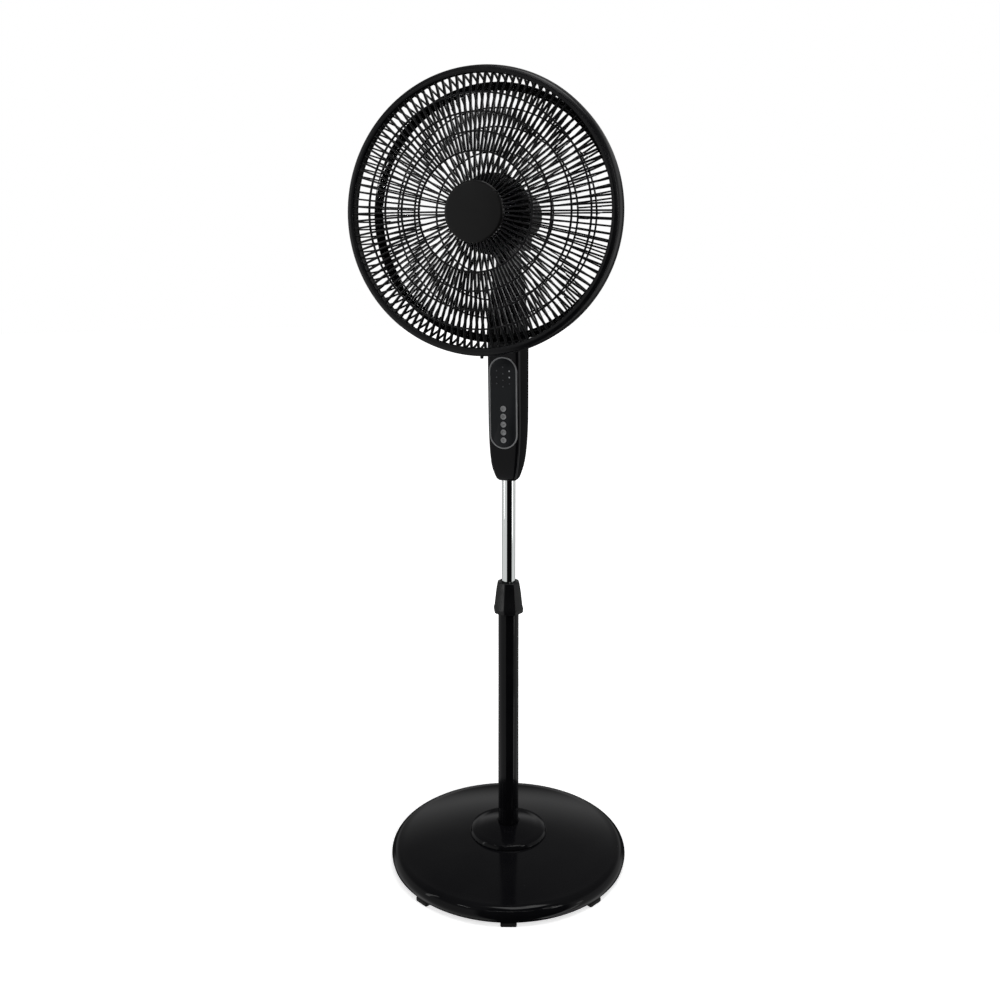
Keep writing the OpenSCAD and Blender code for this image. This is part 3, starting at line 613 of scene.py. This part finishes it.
def column_halves(z):
    """Half width, front and back of the column at a height."""
    foot = COLUMN_LOW.z
    half = between([(foot, 15), (foot + 3, 17.6), (foot + 8, 19.4), (foot + 20, 22.4), (foot + 32, 24.4),
                    (foot + 50, 26.1), (foot + 71, 27.3), (foot + 95, 27.9), (foot + 120, 28),
                    (foot + 235, 28), (foot + 285, 27), (foot + 330, 25.6), (COLUMN_HIGH.z, 22)], z)
    if z > TILT_Z:
        depth = math.sqrt(max(TOP_R ** 2 - (z - TILT_Z) ** 2, 0))
        return half, -depth, depth
    front = between([(foot, -13), (foot + 3, -15.6), (foot + 7, -18), (foot + 20, -23), (foot + 30, -25.1),
                     (foot + CHIN, front_y(foot + CHIN))], z)
    if z > foot + CHIN:
        front = front_y(min(z, BROW_Z))
    if z > BROW_Z:
        front += (-TOP_R - front_y(BROW_Z)) * ((z - BROW_Z) / (TILT_Z - BROW_Z)) ** 1.5
    back = between([(foot, 13), (foot + 3, 15.6), (foot + 7, 18), (foot + 20, 24), (foot + 40, 28.5),
                    (foot + 70, 31.5), (foot + 110, 33), (foot + 230, 33), (foot + 275, 29),
                    (TILT_Z, TOP_R)], z)
    return half, front, back


def column_section(z):
    """Plan of the column: tight corners in front, wide ones behind."""
    half, front, back = column_halves(z)
    depth = back - front
    tight = min(6.0, depth * 0.3, half * 0.45)
    wide = min(12.0, depth * 0.4, half * 0.6)
    corners = [(half, front), (half, back), (-half, back), (-half, front)]
    outline = rounded(corners, [tight, wide, wide, tight], 8)
    return [(x, y, z) for x, y in outline]


def column_skin():
    """Sections of the whole column, from the hole for the sliding tube to the round top."""
    foot = COLUMN_LOW.z
    rises = [0.3, 1, 3, 6, 10, 15, 22, 30, 40, 52, 66, 82, 100, *range(125, 226, 25), *range(240, 316, 15)]
    heights = [foot + rise for rise in rises]
    dome = [TILT_Z + TOP_R * math.sin(math.radians(a)) for a in range(0, 90, 8)]
    sections = [column_section(z) for z in heights + dome]
    hole = box_mm("inner_pole")[1].x + 0.5
    inner, underside = [], []
    for x, y, z in sections[0]:
        shrink = hole / math.hypot(x, y)
        inner.append((x * shrink, y * shrink, foot))
        underside.append((x * 0.96, y * 0.96, foot))
    return [inner, underside] + sections


def make_column():
    """Front and rear shells of the column, split by a fine seam and hollow inside."""
    for node, side in (("column_front", -1), ("column_rear", 1)):
        bm = bmesh.new()
        loft(bm, column_skin(), ROW, "open")
        top = [e for e in bm.edges if e.is_boundary and e.verts[0].co.z > TILT_Z / 1000]
        bmesh.ops.holes_fill(bm, edges=top)
        seam = (SEAM_Y + side * SEAM_GAP / 2) / 1000
        bmesh.ops.bisect_plane(bm, geom=bm.verts[:] + bm.edges[:] + bm.faces[:], plane_co=(0, seam, 0),
                               plane_no=(0, -side, 0), clear_outer=True)
        bmesh.ops.recalc_face_normals(bm, faces=bm.faces)
        half = as_object("column_half", bm)
        thick = half.modifiers.new("wall", "SOLIDIFY")
        thick.thickness = COLUMN_WALL / 1000
        thick.offset = -1
        thick.use_even_offset = True
        shell = as_bmesh(half)
        discard(half)
        neck_slot = bmesh.new()
        prism(neck_slot, rounded([(-13.6, -13.5), (13.6, -13.5), (13.6, 16), (-13.6, 16)], 1.5, 3),
              TILT_Z, TILT_Z + 40, ROW)
        cutters = [neck_slot]
        if side > 0:
            for z, r in ((CORD_Z, CORD_R), (CLAMP_Z, CLAMP_R)):
                hole = bmesh.new()
                prism(hole, circle(r, 32), 10, 45, ROW @ moved(z=z) @ turned(-90, "X"))
                cutters.append(hole)
        piece(node + "_shell", carved(shell, cutters), GLOSS, "column", [node],
              sharp=35, bevel=0.00035)


# ---- Control panel ----------------------------------------------------------

ON_PANEL = ROW @ moved(y=PANEL_Y, z=PANEL_Z) @ turned(PANEL_LEAN, "X")
# from the panel's outline plane (X, Y) with +Z out of the face, to the panel
FACE = ON_PANEL @ turned(90, "X")
LAMP_ROWS = [(-11, (54, 43.4, 32.8)), (0, (60.5, 49.4, 38.6, 27.8)), (11, (54, 43.4, 32.8))]
LAMPS = [(x, y) for x, heights in LAMP_ROWS for y in heights]
LIT_LAMPS = [(11, 54), (11, 43.4)]
KEYS = 5


def make_panel():
    """The silver ring and the fascia inside it, with holes for the keys and the lamps."""
    low, high = box_mm("panel_trim")
    width = high.x - low.x
    height = (high.z - low.z) / math.cos(math.radians(PANEL_LEAN))
    ring = 2.35
    profile = [(0, -1.1), (0, 0.35), (0.25, 0.68), (0.7, 0.8), (ring - 0.6, 0.8), (ring - 0.2, 0.68),
               (ring, 0.4), (ring, -1.1)]
    sections = [[(x, y, rise) for x, y in stadium(width - 2 * inset, height - 2 * inset, 28)]
                for inset, rise in profile]
    bm = bmesh.new()
    loft(bm, sections, FACE, "joined")
    piece("panel_trim_ring", bm, SILVER, "column", ["panel_trim"])

    bm = bmesh.new()
    prism(bm, stadium(width - 2 * ring - 0.1, height - 2 * ring - 0.1, 28), -1.1, 0.4, FACE, 0.15)
    cutters = []
    key_holes = [circle(5.35, 48, key_centre(k)) for k in range(1, KEYS + 1)]
    lamp_holes = [circle(1.35, 24, spot) for spot in LAMPS]
    for outline in key_holes + lamp_holes:
        hole = bmesh.new()
        prism(hole, outline, -3, 3, FACE)
        cutters.append(hole)
    piece("control_panel_face", carved(bm, cutters), CHARCOAL, "column", ["control_panel"],
          bevel=0.00008)


def make_lamps():
    """Ten small domed light guides, of which two are lit."""
    dark_lamps = [spot for spot in LAMPS if spot not in LIT_LAMPS]
    dome = [(0, 0.62), (0.6, 0.55), (1.05, 0.34), (1.28, 0.0), (1.28, -3), (0, -3)]
    for name, material, spots, nodes in (
            ("indicator_light_guides", LENS, dark_lamps, ["indicator_lenses"]),
            ("lit_light_guides", LENS_LIT, LIT_LAMPS, ())):
        bm = bmesh.new()
        for x, y in spots:
            lathe(bm, dome, FACE @ moved(x, y), 24, closed=False)
        piece(name, bm, material, "column", nodes)


def key_centre(k):
    """Place of a key on the panel's face."""
    return 0.0, (middle_z(f"key_{k}") - PANEL_Z) / math.cos(math.radians(PANEL_LEAN))


def add_stroke(bm, points, place, width=0.55, top=1.0):
    """A thin inlaid line through the points, on a key's face."""
    path = [Vector((x, y, top)) for x, y in points]
    sweep(bm, path, [(-0.14, -width / 2), (0.02, -width / 2), (0.02, width / 2), (-0.14, width / 2)],
          Vector((0, 0, 1)), place)


def add_symbol(bm, k, place):
    """Plain pictograms, one for each key: power, timer, speed, swing and mode."""
    if k == 1:
        add_stroke(bm, arc((0, 0), 1.9, 120, 420, 20), place)
        add_stroke(bm, [(0, 0.6), (0, 2.4)], place)
    if k == 2:
        add_stroke(bm, arc((0, 0), 2.0, 0, 360, 24), place)
        add_stroke(bm, [(0, 1.3), (0, 0), (1.0, 0)], place, 0.45)
    if k == 3:
        for x, rise in ((-1.5, 0.9), (0, 1.7), (1.5, 2.6)):
            add_stroke(bm, [(x, -1.3), (x, -1.3 + rise)], place, 0.8)
    if k == 4:
        add_stroke(bm, arc((0, -1.8), 3.0, 50, 130, 12), place)
        for side in (-1, 1):
            x, y = side * 2.1, 0.35
            add_stroke(bm, [(x - side * 1.0, y - 0.1), (x, y), (x - side * 0.2, y + 1.0)], place, 0.45)
    if k == 5:
        add_stroke(bm, arc((0, 0), 1.9, 20, 160, 12), place)
        add_stroke(bm, arc((0, 0), 1.9, 200, 340, 12), place)
        add_stroke(bm, [(-0.6, 0), (0.6, 0)], place, 0.9)


def make_keys():
    """Round caps with a raised rim and a dished face, each with its pictogram."""
    outline = [(0, 0.88), (2.6, 0.92), (3.6, 1.0), (4.05, 1.22), (4.4, 1.3), (4.75, 1.22), (4.95, 0.95),
               (4.98, 0.5), (4.98, -3), (6.0, -3.1), (6.0, -4.3), (4.9, -4.6), (0, -4.7)]
    for k in range(1, KEYS + 1):
        place = FACE @ moved(*key_centre(k))
        bm = bmesh.new()
        lathe(bm, outline, place, 48, closed=False)
        piece(f"key_cap_{k}", bm, KEY_SILVER, f"key_{k}", [f"key_{k}"], sharp=40)
        bm = bmesh.new()
        add_symbol(bm, k, place)
        piece(f"key_symbol_{k}", bm, KEY_INK, f"key_{k}")


# ---- Head: cage -------------------------------------------------------------

# local +Z runs out of the front of the head, from the pole's axis
HEAD = ROW @ moved(z=middle_z("motor_shaft")) @ turned(90, "X")
CAGE_R = box_mm("front_grille")[1].x
SKIRT_BACK = -box_mm("front_grille")[1].y       # rear edge of the front grille's rim
CAGE_FRONT = SKIRT_BACK + 20                    # where the rim's face begins to round off
HUB_FRONT = CAGE_FRONT - 66                     # front of the rear grille's hub plate
RIBS = 112          # in the outer zones; half as many further in
HUB_RING = 47.2
RIB_DEPTH = 8.0


def add_ribs(bm, line, count, section):
    """Ribs that follow a line of (radius, height), evenly round the head's axis."""
    for k in range(count):
        a = TURN * k / count
        outward = Vector((math.cos(a), math.sin(a), 0))
        side = Vector((-math.sin(a), math.cos(a), 0))
        path = [outward * r + Vector((0, 0, h)) for r, h in line]
        sweep(bm, path, section, side, HEAD)


def make_front_grille():
    """A heavy rim, deep narrow ribs, four rings behind them and a hub ring."""
    r, f = CAGE_R, CAGE_FRONT
    bm = bmesh.new()
    rim = rounded([(r - 3.4, SKIRT_BACK), (r - 1, SKIRT_BACK), (r, f - 6), (r - 2.2, f + 4.6),
                   (r - 8.5, f + 8), (r - 12.8, f + 7.4), (r - 13.8, f + 5), (r - 13.8, f),
                   (r - 10.8, f), (r - 10.8, f + 4.4), (r - 5.4, f + 3), (r - 3, f - 2)],
                  [0.7, 0.8, 8, 7, 3, 1.2, 1.0, 0.8, 0.8, 1.5, 3, 4], 6)
    lathe(bm, rim, HEAD, 240)
    # radius of each ring, and height of the ribs' outer edge there
    rings = [(178.5, f + 11.6), (149.5, f + 15.6), (120, f + 19.6), (91, f + 20.6)]
    bar = bar_section(2.7, RIB_DEPTH, 0.9)
    outer = [(r - 11, f + 5.2), (198, f + 7)] + rings
    add_ribs(bm, smooth_line([(p, h - RIB_DEPTH / 2) for p, h in outer], 3), RIBS, bar)
    inner = [rings[-1], (70, f + 21), (44, f + 21.2)]
    add_ribs(bm, smooth_line([(p, h - RIB_DEPTH / 2) for p, h in inner], 2), RIBS // 2, bar)
    for radius, height in rings:
        hoop(bm, radius, height - 2.2, bar_section(2.8, 4.2, 0.9), HEAD, 200)
    hub = rounded([(30, f + 16), (HUB_RING, f + 16), (HUB_RING, f + 20.9), (30, f + 20.9)], 0.8, 3)
    lathe(bm, hub, HEAD, 128)
    piece("front_grille_ribs", bm, RIB_BLACK, "head", ["front_grille"], sharp=40)


def make_rear_grille():
    """A rim inside the front one, ribs, three rings, a hub plate and an opaque band at the outer bend."""
    r, b, h = CAGE_R, SKIRT_BACK, HUB_FRONT
    bm = bmesh.new()
    rim = rounded([(r - 6.5, b + 12), (r - 6.5, b - 8), (r - 1.5, b - 8), (r - 1.5, b - 0.4),
                   (r - 4, b - 0.4), (r - 4, b + 12)], [0.6, 2, 2, 0.7, 0.2, 0.6], 5)
    lathe(bm, rim, HEAD, 240)
    foot = (193, h - 8.6)       # of the outer bend
    rings = [(166.5, h - 9.4), (137, h - 8.4), (98, h - 6.4)]
    bend = [(r - 4, b - 5), (r - 5, b - 14), (210, h + 12), (203, h + 0.4), foot]
    slope = [foot, (180, h - 9.6), rings[0], (152, h - 9), rings[1]]
    to_hub = [rings[1], rings[2], (62, h - 1.6)]
    bar = bar_section(2.4, RIB_DEPTH - 1, 0.8)
    add_ribs(bm, smooth_line([(p - 0.6, q) for p, q in bend], 4), RIBS, bar_section(2.4, 4.6, 0.8))
    add_ribs(bm, smooth_line([(p, q + 1.2) for p, q in slope], 2), RIBS, bar)
    add_ribs(bm, smooth_line([(p, q + 1.2) for p, q in to_hub], 4), RIBS // 2, bar)
    for radius, height in rings:
        hoop(bm, radius, height + 0.2, bar_section(2.6, 4.0, 0.9), HEAD, 180)
    plate = rounded([(14.2, h - 2.9), (65, h - 2.9), (65, h), (14.2, h)], 0.8, 3)
    lathe(bm, plate, HEAD, 128)
    piece("rear_grille_ribs", bm, RIB_BLACK, "head", ["rear_grille"], sharp=40)
    bm = bmesh.new()
    band = rounded([(203.8, h + 2.2), (192.2, h - 7.8), (193.9, h - 9.8), (205.4, h + 0.1)], 0.9, 3)
    lathe(bm, band, HEAD, 200)
    piece("rear_grille_band", bm, GLOSS, "head", ["rear_grille"])


def make_grille_cap():
    """Plain round badge over the hub, with a soft edge."""
    low, high = box_mm("grille_cap")
    r, top = high.x, -low.y
    outline = rounded([(0, top), (r - 3.4, top - 1.5), (r - 1.2, top - 2.1), (r, top - 3), (r, top - 5),
                       (0, top - 5)], [0, 2, 1, 0.8, 0.3, 0], 4, closed=False)
    bm = bmesh.new()
    lathe(bm, outline, HEAD, 128, closed=False)
    piece("grille_cap_badge", bm, CAP_SATIN, "head", ["grille_cap"])


def scalloped(radius, lobes, depth, steps=144):
    """A round outline with shallow finger grips."""
    points = []
    for i in range(steps):
        a = TURN * i / steps
        reach = radius - depth * (0.5 - 0.5 * math.cos(lobes * a)) ** 3
        points.append((reach * math.cos(a), reach * math.sin(a)))
    return points


def make_nuts():
    """The ring nut of the rear grille and the blade nut, both turned by hand."""
    for node, name, lobes, grip, rim, bore_circle, body in (
            ("grille_nut", "grille_ring_nut", 12, 2.4, 0.9, circle(14.1, 64), "head"),
            ("blade_nut", "blade_clamp_nut", 8, 2.6, 1.4, circle(4.05, 48), "rotor")):
        low, high = box_mm(node)
        bm = bmesh.new()
        prism(bm, scalloped(high.x - 0.2, lobes, grip), -high.y, -low.y, HEAD, rim)
        bore = bmesh.new()
        prism(bore, bore_circle, -high.y - 5, -low.y + 5, HEAD)
        piece(name, carved(bm, [bore]), SATIN, body, [node])


# ---- Head: blades -----------------------------------------------------------

BLADES = 5
BLADE_R = 184.0
HUB_R = 32.0
HUB_LENGTH = 44.0
BLADE_ROOT = HUB_R - 4      # each blade starts inside the hub's wall
BLADE_TIP = BLADE_R - 0.4
HALF_THICK = 0.9


def blade_edges(t):
    """Angles of a blade's leading and trailing edge, in degrees, from root (0) to tip (1)."""
    lead = -24 - 4 * t + 10 * t ** 4
    tail = 24 + 6 * math.sin(t * math.pi / 2) - 22 * t ** 5
    return lead, tail


def blade_side(half_thick, along=26, across=20):
    """Rows of points over one side of a blade, from its root to its tip, about its middle height."""
    rows = []
    for i in range(along + 1):
        t = i / along
        r = BLADE_ROOT + (BLADE_TIP - BLADE_ROOT) * t
        lead, tail = blade_edges(t)
        pitch = math.radians(34 - 13 * t)
        row = []
        for j in range(across + 1):
            s = -1 + 2 * j / across
            a = math.radians(lead + (tail - lead) * (0.5 + 0.5 * s))
            camber = 3.5 * math.cos(s * math.pi / 2)
            rise = max(min(math.tan(pitch) * r * a * 0.62 + camber, 22.0), -23.5)
            taper = math.sqrt(max(1 - abs(s) ** 6, 0.0)) * 0.8 + 0.2
            row.append((r * math.cos(a), r * math.sin(a), rise + half_thick * taper))
        rows.append(row)
    return rows


def border(grid):
    """What lies round the edge of a grid of rows, in order."""
    there = [row[0] for row in grid]
    back = [row[-1] for row in reversed(grid[:-1])]
    return there + grid[-1][1:] + back + grid[0][-2:0:-1]


def make_blades():
    """Five clear blades with a swept leading edge and a pitch that eases towards the tip."""
    hub_back = -box_mm("fan_blade")[1].y
    bm = bmesh.new()
    for k in range(BLADES):
        place = HEAD @ moved(z=hub_back + 28) @ turned(90 + 360 / BLADES * k, "Z")
        grids = []
        for side in (1, -1):
            rows = blade_side(side * HALF_THICK)
            grids.append([[bm.verts.new(place @ Vector(p)) for p in row] for row in rows])
            join_rings(bm, grids[-1], ring_closed=False)
        join_rings(bm, [border(grid) for grid in grids])
    web, front = hub_back + 6, hub_back + HUB_LENGTH
    hub = rounded([(4.05, hub_back), (HUB_R, hub_back), (HUB_R, front), (HUB_R - 2.5, front),
                   (HUB_R - 2.5, web), (9, web), (9, front), (4.05, front)],
                  [0, 2.5, 1.2, 1.0, 2, 2, 0.8, 0.3], 4)
    lathe(bm, hub, HEAD, 96)
    piece("clear_blades", bm, CLEAR, "rotor", ["fan_blade"], sharp=50)


# ---- Head: lock screw -------------------------------------------------------


def make_lock_screw():
    """A short screw under the rim, which holds the two grilles together."""
    place = HEAD @ moved(y=-CAGE_R, z=SKIRT_BACK + 6) @ turned(90, "X")
    bm = bmesh.new()
    outline = rounded([(0, -6), (1.8, -6), (1.8, 0.2), (2.6, 0.2), (2.6, 4.3), (0, 4.4)],
                      [0, 0.3, 0.1, 0.3, 0.8, 0], 3, closed=False)
    lathe(bm, outline, place, 32, closed=False)
    piece("grille_lock_screw", bm, SATIN, "head", ["grille_screw"])


# ---- Finishes of the CAD nodes ----------------------------------------------

FINISHES = {
    BASE_GLOSS: ["base_cover", "trim_disc"],
    GLOSS: ["column_front", "column_rear"],
    POLE_COAT: ["outer_pole"],
    SATIN: ["neck_block", "motor_front_cover", "motor_rear_cover", "grille_nut", "blade_nut", "clamp_screw"],
    COLLAR: ["height_collar"],
    CAP_SATIN: ["grille_cap"],
    RIB_BLACK: ["front_grille", "rear_grille"],
    CHROME: ["inner_pole"],
    CHARCOAL: ["control_panel"],
    SILVER: ["panel_trim"],
    LENS: ["indicator_lenses"],
    KEY_SILVER: [f"key_{k}" for k in range(1, KEYS + 1)],
    BOARD: ["control_board"],
    DARK_NYLON: ["base_plate", "guide_sleeve", "pole_stop", "key_switches", "ir_receiver", "swing_motor"],
    WHITE_NYLON: ["swing_crank", "motor_capacitor"],
    RUBBER: ["base_feet", "cord_gland"],
    STEEL: ["socket_screws", "pole_bolt", "bolt_washer", "column_screws", "tilt_bolt", "tilt_nut",
            "swing_post", "post_clip", "motor_bolts", "cover_screws", "swing_link", "motor_shaft",
            "drive_pin", "grille_screw"],
    CASTING: ["pole_socket", "pole_plug", "column_core", "motor_front_frame", "motor_rear_frame"],
    LAMINATIONS: ["motor_stator", "motor_rotor"],
    WINDINGS: ["motor_windings"],
    BRONZE: ["motor_bearings"],
    CEMENT: ["base_weight"],
    CLEAR: ["fan_blade"],
}


def dress_cad_nodes():
    """Gives every CAD node its finish, also those hidden by a piece."""
    for material, names in FINISHES.items():
        for name in names:
            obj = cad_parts[name]
            obj.data.materials.clear()
            obj.data.materials.append(material)


# ---- Camera, light and floor ------------------------------------------------


def make_camera():
    """View from the right of the front, from a little below the head's axis and slightly downwards."""
    azimuth, pitch, pan = (math.radians(a) for a in (17.87, 5.27, 0.48))
    distance, height = 1.7452, 1.0453
    facing = azimuth + pan
    across = Vector((math.cos(facing), math.sin(facing), 0))
    level = Vector((-math.sin(facing), math.cos(facing), 0))
    ahead = level * math.cos(pitch) - Vector((0, 0, math.sin(pitch)))
    view = Matrix((across, across.cross(ahead), -ahead)).transposed().to_4x4()
    view.translation = (distance * math.sin(azimuth), -distance * math.cos(azimuth), height)
    data = bpy.data.cameras.new("camera")
    data.sensor_width = 36.0
    data.lens = 37.54
    data.shift_y = -0.1465
    camera = bpy.data.objects.new("camera", data)
    camera.matrix_world = view
    bpy.context.scene.collection.objects.link(camera)
    bpy.context.scene.camera = camera


def seen_or_reflected(nodes, links, seen, reflected):
    """One shader for what the camera sees, also through the clear blades, and another for reflections."""
    path = nodes.new("ShaderNodeLightPath")
    direct = nodes.new("ShaderNodeMath")
    direct.operation = "MAXIMUM"
    links.new(path.outputs["Is Camera Ray"], direct.inputs[0])
    links.new(path.outputs["Is Transmission Ray"], direct.inputs[1])
    mix = nodes.new("ShaderNodeMixShader")
    links.new(direct.outputs["Value"], mix.inputs["Fac"])
    links.new(reflected, mix.inputs[1])
    links.new(seen, mix.inputs[2])
    return mix.outputs["Shader"]


def make_world():
    """White when seen. As a light it is a studio: two bright sides, a dark gap behind the camera, another
    beyond the object below eye level, and less light from overhead."""
    world = bpy.data.worlds.new("studio")
    bpy.context.scene.world = world
    world.use_nodes = True
    nodes, links = world.node_tree.nodes, world.node_tree.links
    nodes.clear()
    where = nodes.new("ShaderNodeTexCoord").outputs["Generated"]
    split = nodes.new("ShaderNodeSeparateXYZ")
    links.new(where, split.inputs["Vector"])
    height = split.outputs["Z"]

    def along(x, y):
        dot = nodes.new("ShaderNodeVectorMath")
        dot.operation = "DOT_PRODUCT"
        dot.inputs[1].default_value = (x, y, 0)
        links.new(where, dot.inputs[0])
        return dot.outputs["Value"]

    def math_node(operation, a, b):
        node = nodes.new("ShaderNodeMath")
        node.operation = operation
        for socket, value in zip(node.inputs, (a, b)):
            if isinstance(value, float):
                socket.default_value = value
            else:
                links.new(value, socket)
        return node.outputs["Value"]

    def step(value, *numbers):
        return smooth_step(nodes, links, value, *numbers)

    def away(azimuth):
        """Degrees round from an azimuth, which is 0 in front of the fan and positive to the right."""
        front = math.radians(azimuth)
        turn = math_node("ARCTAN2", along(math.cos(front), math.sin(front)),
                         along(math.sin(front), -math.cos(front)))
        return math_node("ABSOLUTE", math_node("MULTIPLY", turn, 180 / math.pi), 0.0)

    def background(strength):
        node = nodes.new("ShaderNodeBackground")
        node.inputs["Color"].default_value = (1, 1, 1, 1)
        if strength:
            links.new(strength, node.inputs["Strength"])
        return node.outputs["Background"]

    # bright outside a gap in front, dimmed again far round at the back, and dimmer overhead
    sides = step(away(32.0), 39.0, 46.0, 0.003, 0.66)
    beyond = step(away(18.0), 128.0, 140.0, 0.0, 0.94)
    below = step(height, 0.12, 0.3, 1.0, 0.0)
    shade = math_node("SUBTRACT", 1.0, math_node("MULTIPLY", beyond, below))
    fall = step(height, 0.24, 0.54, 1.0, 0.34)
    wide = math_node("MULTIPLY", math_node("MULTIPLY", sides, shade), fall)
    # a narrow bright strip to the right, in two lengths below eye level
    strip = step(away(84.0), 1.5, 3.5, 3.0, 0.0)
    low = step(height, -0.36, -0.33, 1.0, 0.0)
    level = math_node("MULTIPLY", step(height, -0.2, -0.17, 0.0, 1.0), step(height, 0.0, 0.05, 1.0, 0.0))
    narrow = math_node("MULTIPLY", strip, math_node("ADD", low, level))
    studio = background(math_node("ADD", wide, narrow))
    out = nodes.new("ShaderNodeOutputWorld")
    links.new(seen_or_reflected(nodes, links, background(None), studio), out.inputs["Surface"])


def floor_surface():
    """Pale, and brighter with distance, so that it meets the white surroundings without an edge."""
    mat, nodes, links, shader = graph("pale_floor")
    vector = coordinates(nodes, links)
    drift = noise(nodes, links, vector, 0.8)
    colour = ramp(nodes, links, drift, [(0.3, (0.93, 0.93, 0.93)), (0.7, (0.96, 0.96, 0.96))])
    links.new(colour, shader.inputs["Base Color"])
    shader.inputs["Roughness"].default_value = 0.9
    shader.inputs["Specular IOR Level"].default_value = 0.1
    distance = nodes.new("ShaderNodeVectorMath")
    distance.operation = "LENGTH"
    links.new(vector, distance.inputs[0])
    glow = smooth_step(nodes, links, distance.outputs["Value"], 0.15, 0.9, 0.7, 1.1)
    links.new(colour, shader.inputs["Emission Color"])
    links.new(glow, shader.inputs["Emission Strength"])
    # the gloss reflects the studio all round and not the floor
    nothing = nodes.new("ShaderNodeBsdfTransparent").outputs["BSDF"]
    out = next(n for n in nodes if n.type == "OUTPUT_MATERIAL")
    links.new(seen_or_reflected(nodes, links, shader.outputs["BSDF"], nothing), out.inputs["Surface"])
    return mat


def make_light(name, place, target, size, energy):
    data = bpy.data.lights.new(name, "AREA")
    data.shape = "RECTANGLE"
    data.size, data.size_y = size
    data.energy = energy
    obj = bpy.data.objects.new(name, data)
    toward = (Vector(target) - Vector(place)).normalized()
    obj.matrix_world = Matrix.Translation(place) @ toward.to_track_quat("-Z", "Y").to_matrix().to_4x4()
    bpy.context.scene.collection.objects.link(obj)


def make_stage():
    """The floor and the lamps."""
    bm = bmesh.new()
    bmesh.ops.create_circle(bm, cap_ends=True, segments=96, radius=14)
    floor = as_object("floor", bm)
    floor.data.materials.append(floor_surface())
    make_light("overhead_softbox", (0.6, -0.5, 3.6), (0, 0, 0.6), (1.6, 1.6), 40)
    make_light("right_softbox", (2.5, -1.3, 1.5), (0, 0, 1.1), (0.5, 0.5), 5)
    make_light("left_strip", (-2.3, -1.5, 1.2), (0, 0, 0.9), (0.2, 2.0), 4)
    # these three draw the bright line on the base's shoulder
    make_light("front_strip", (0.85, -2.6, 2.3), (0, 0, 0), (2.2, 0.05), 4)
    make_light("front_left_end", (-1.27, -2.5, 2.3), (0, 0, 0), (0.6, 0.08), 3)
    make_light("front_right_end", (2.37, -1.48, 2.3), (0, 0, 0), (0.6, 0.08), 3)


make_camera()
make_world()
make_stage()
dress_cad_nodes()
make_base_cover()
make_trim_disc()
make_feet()
make_poles()
make_collar()
make_column()
make_panel()
make_lamps()
make_keys()
make_front_grille()
make_rear_grille()
make_grille_cap()
make_nuts()
make_blades()
make_lock_screw()

bpy.context.scene.view_settings.view_transform = "Standard"
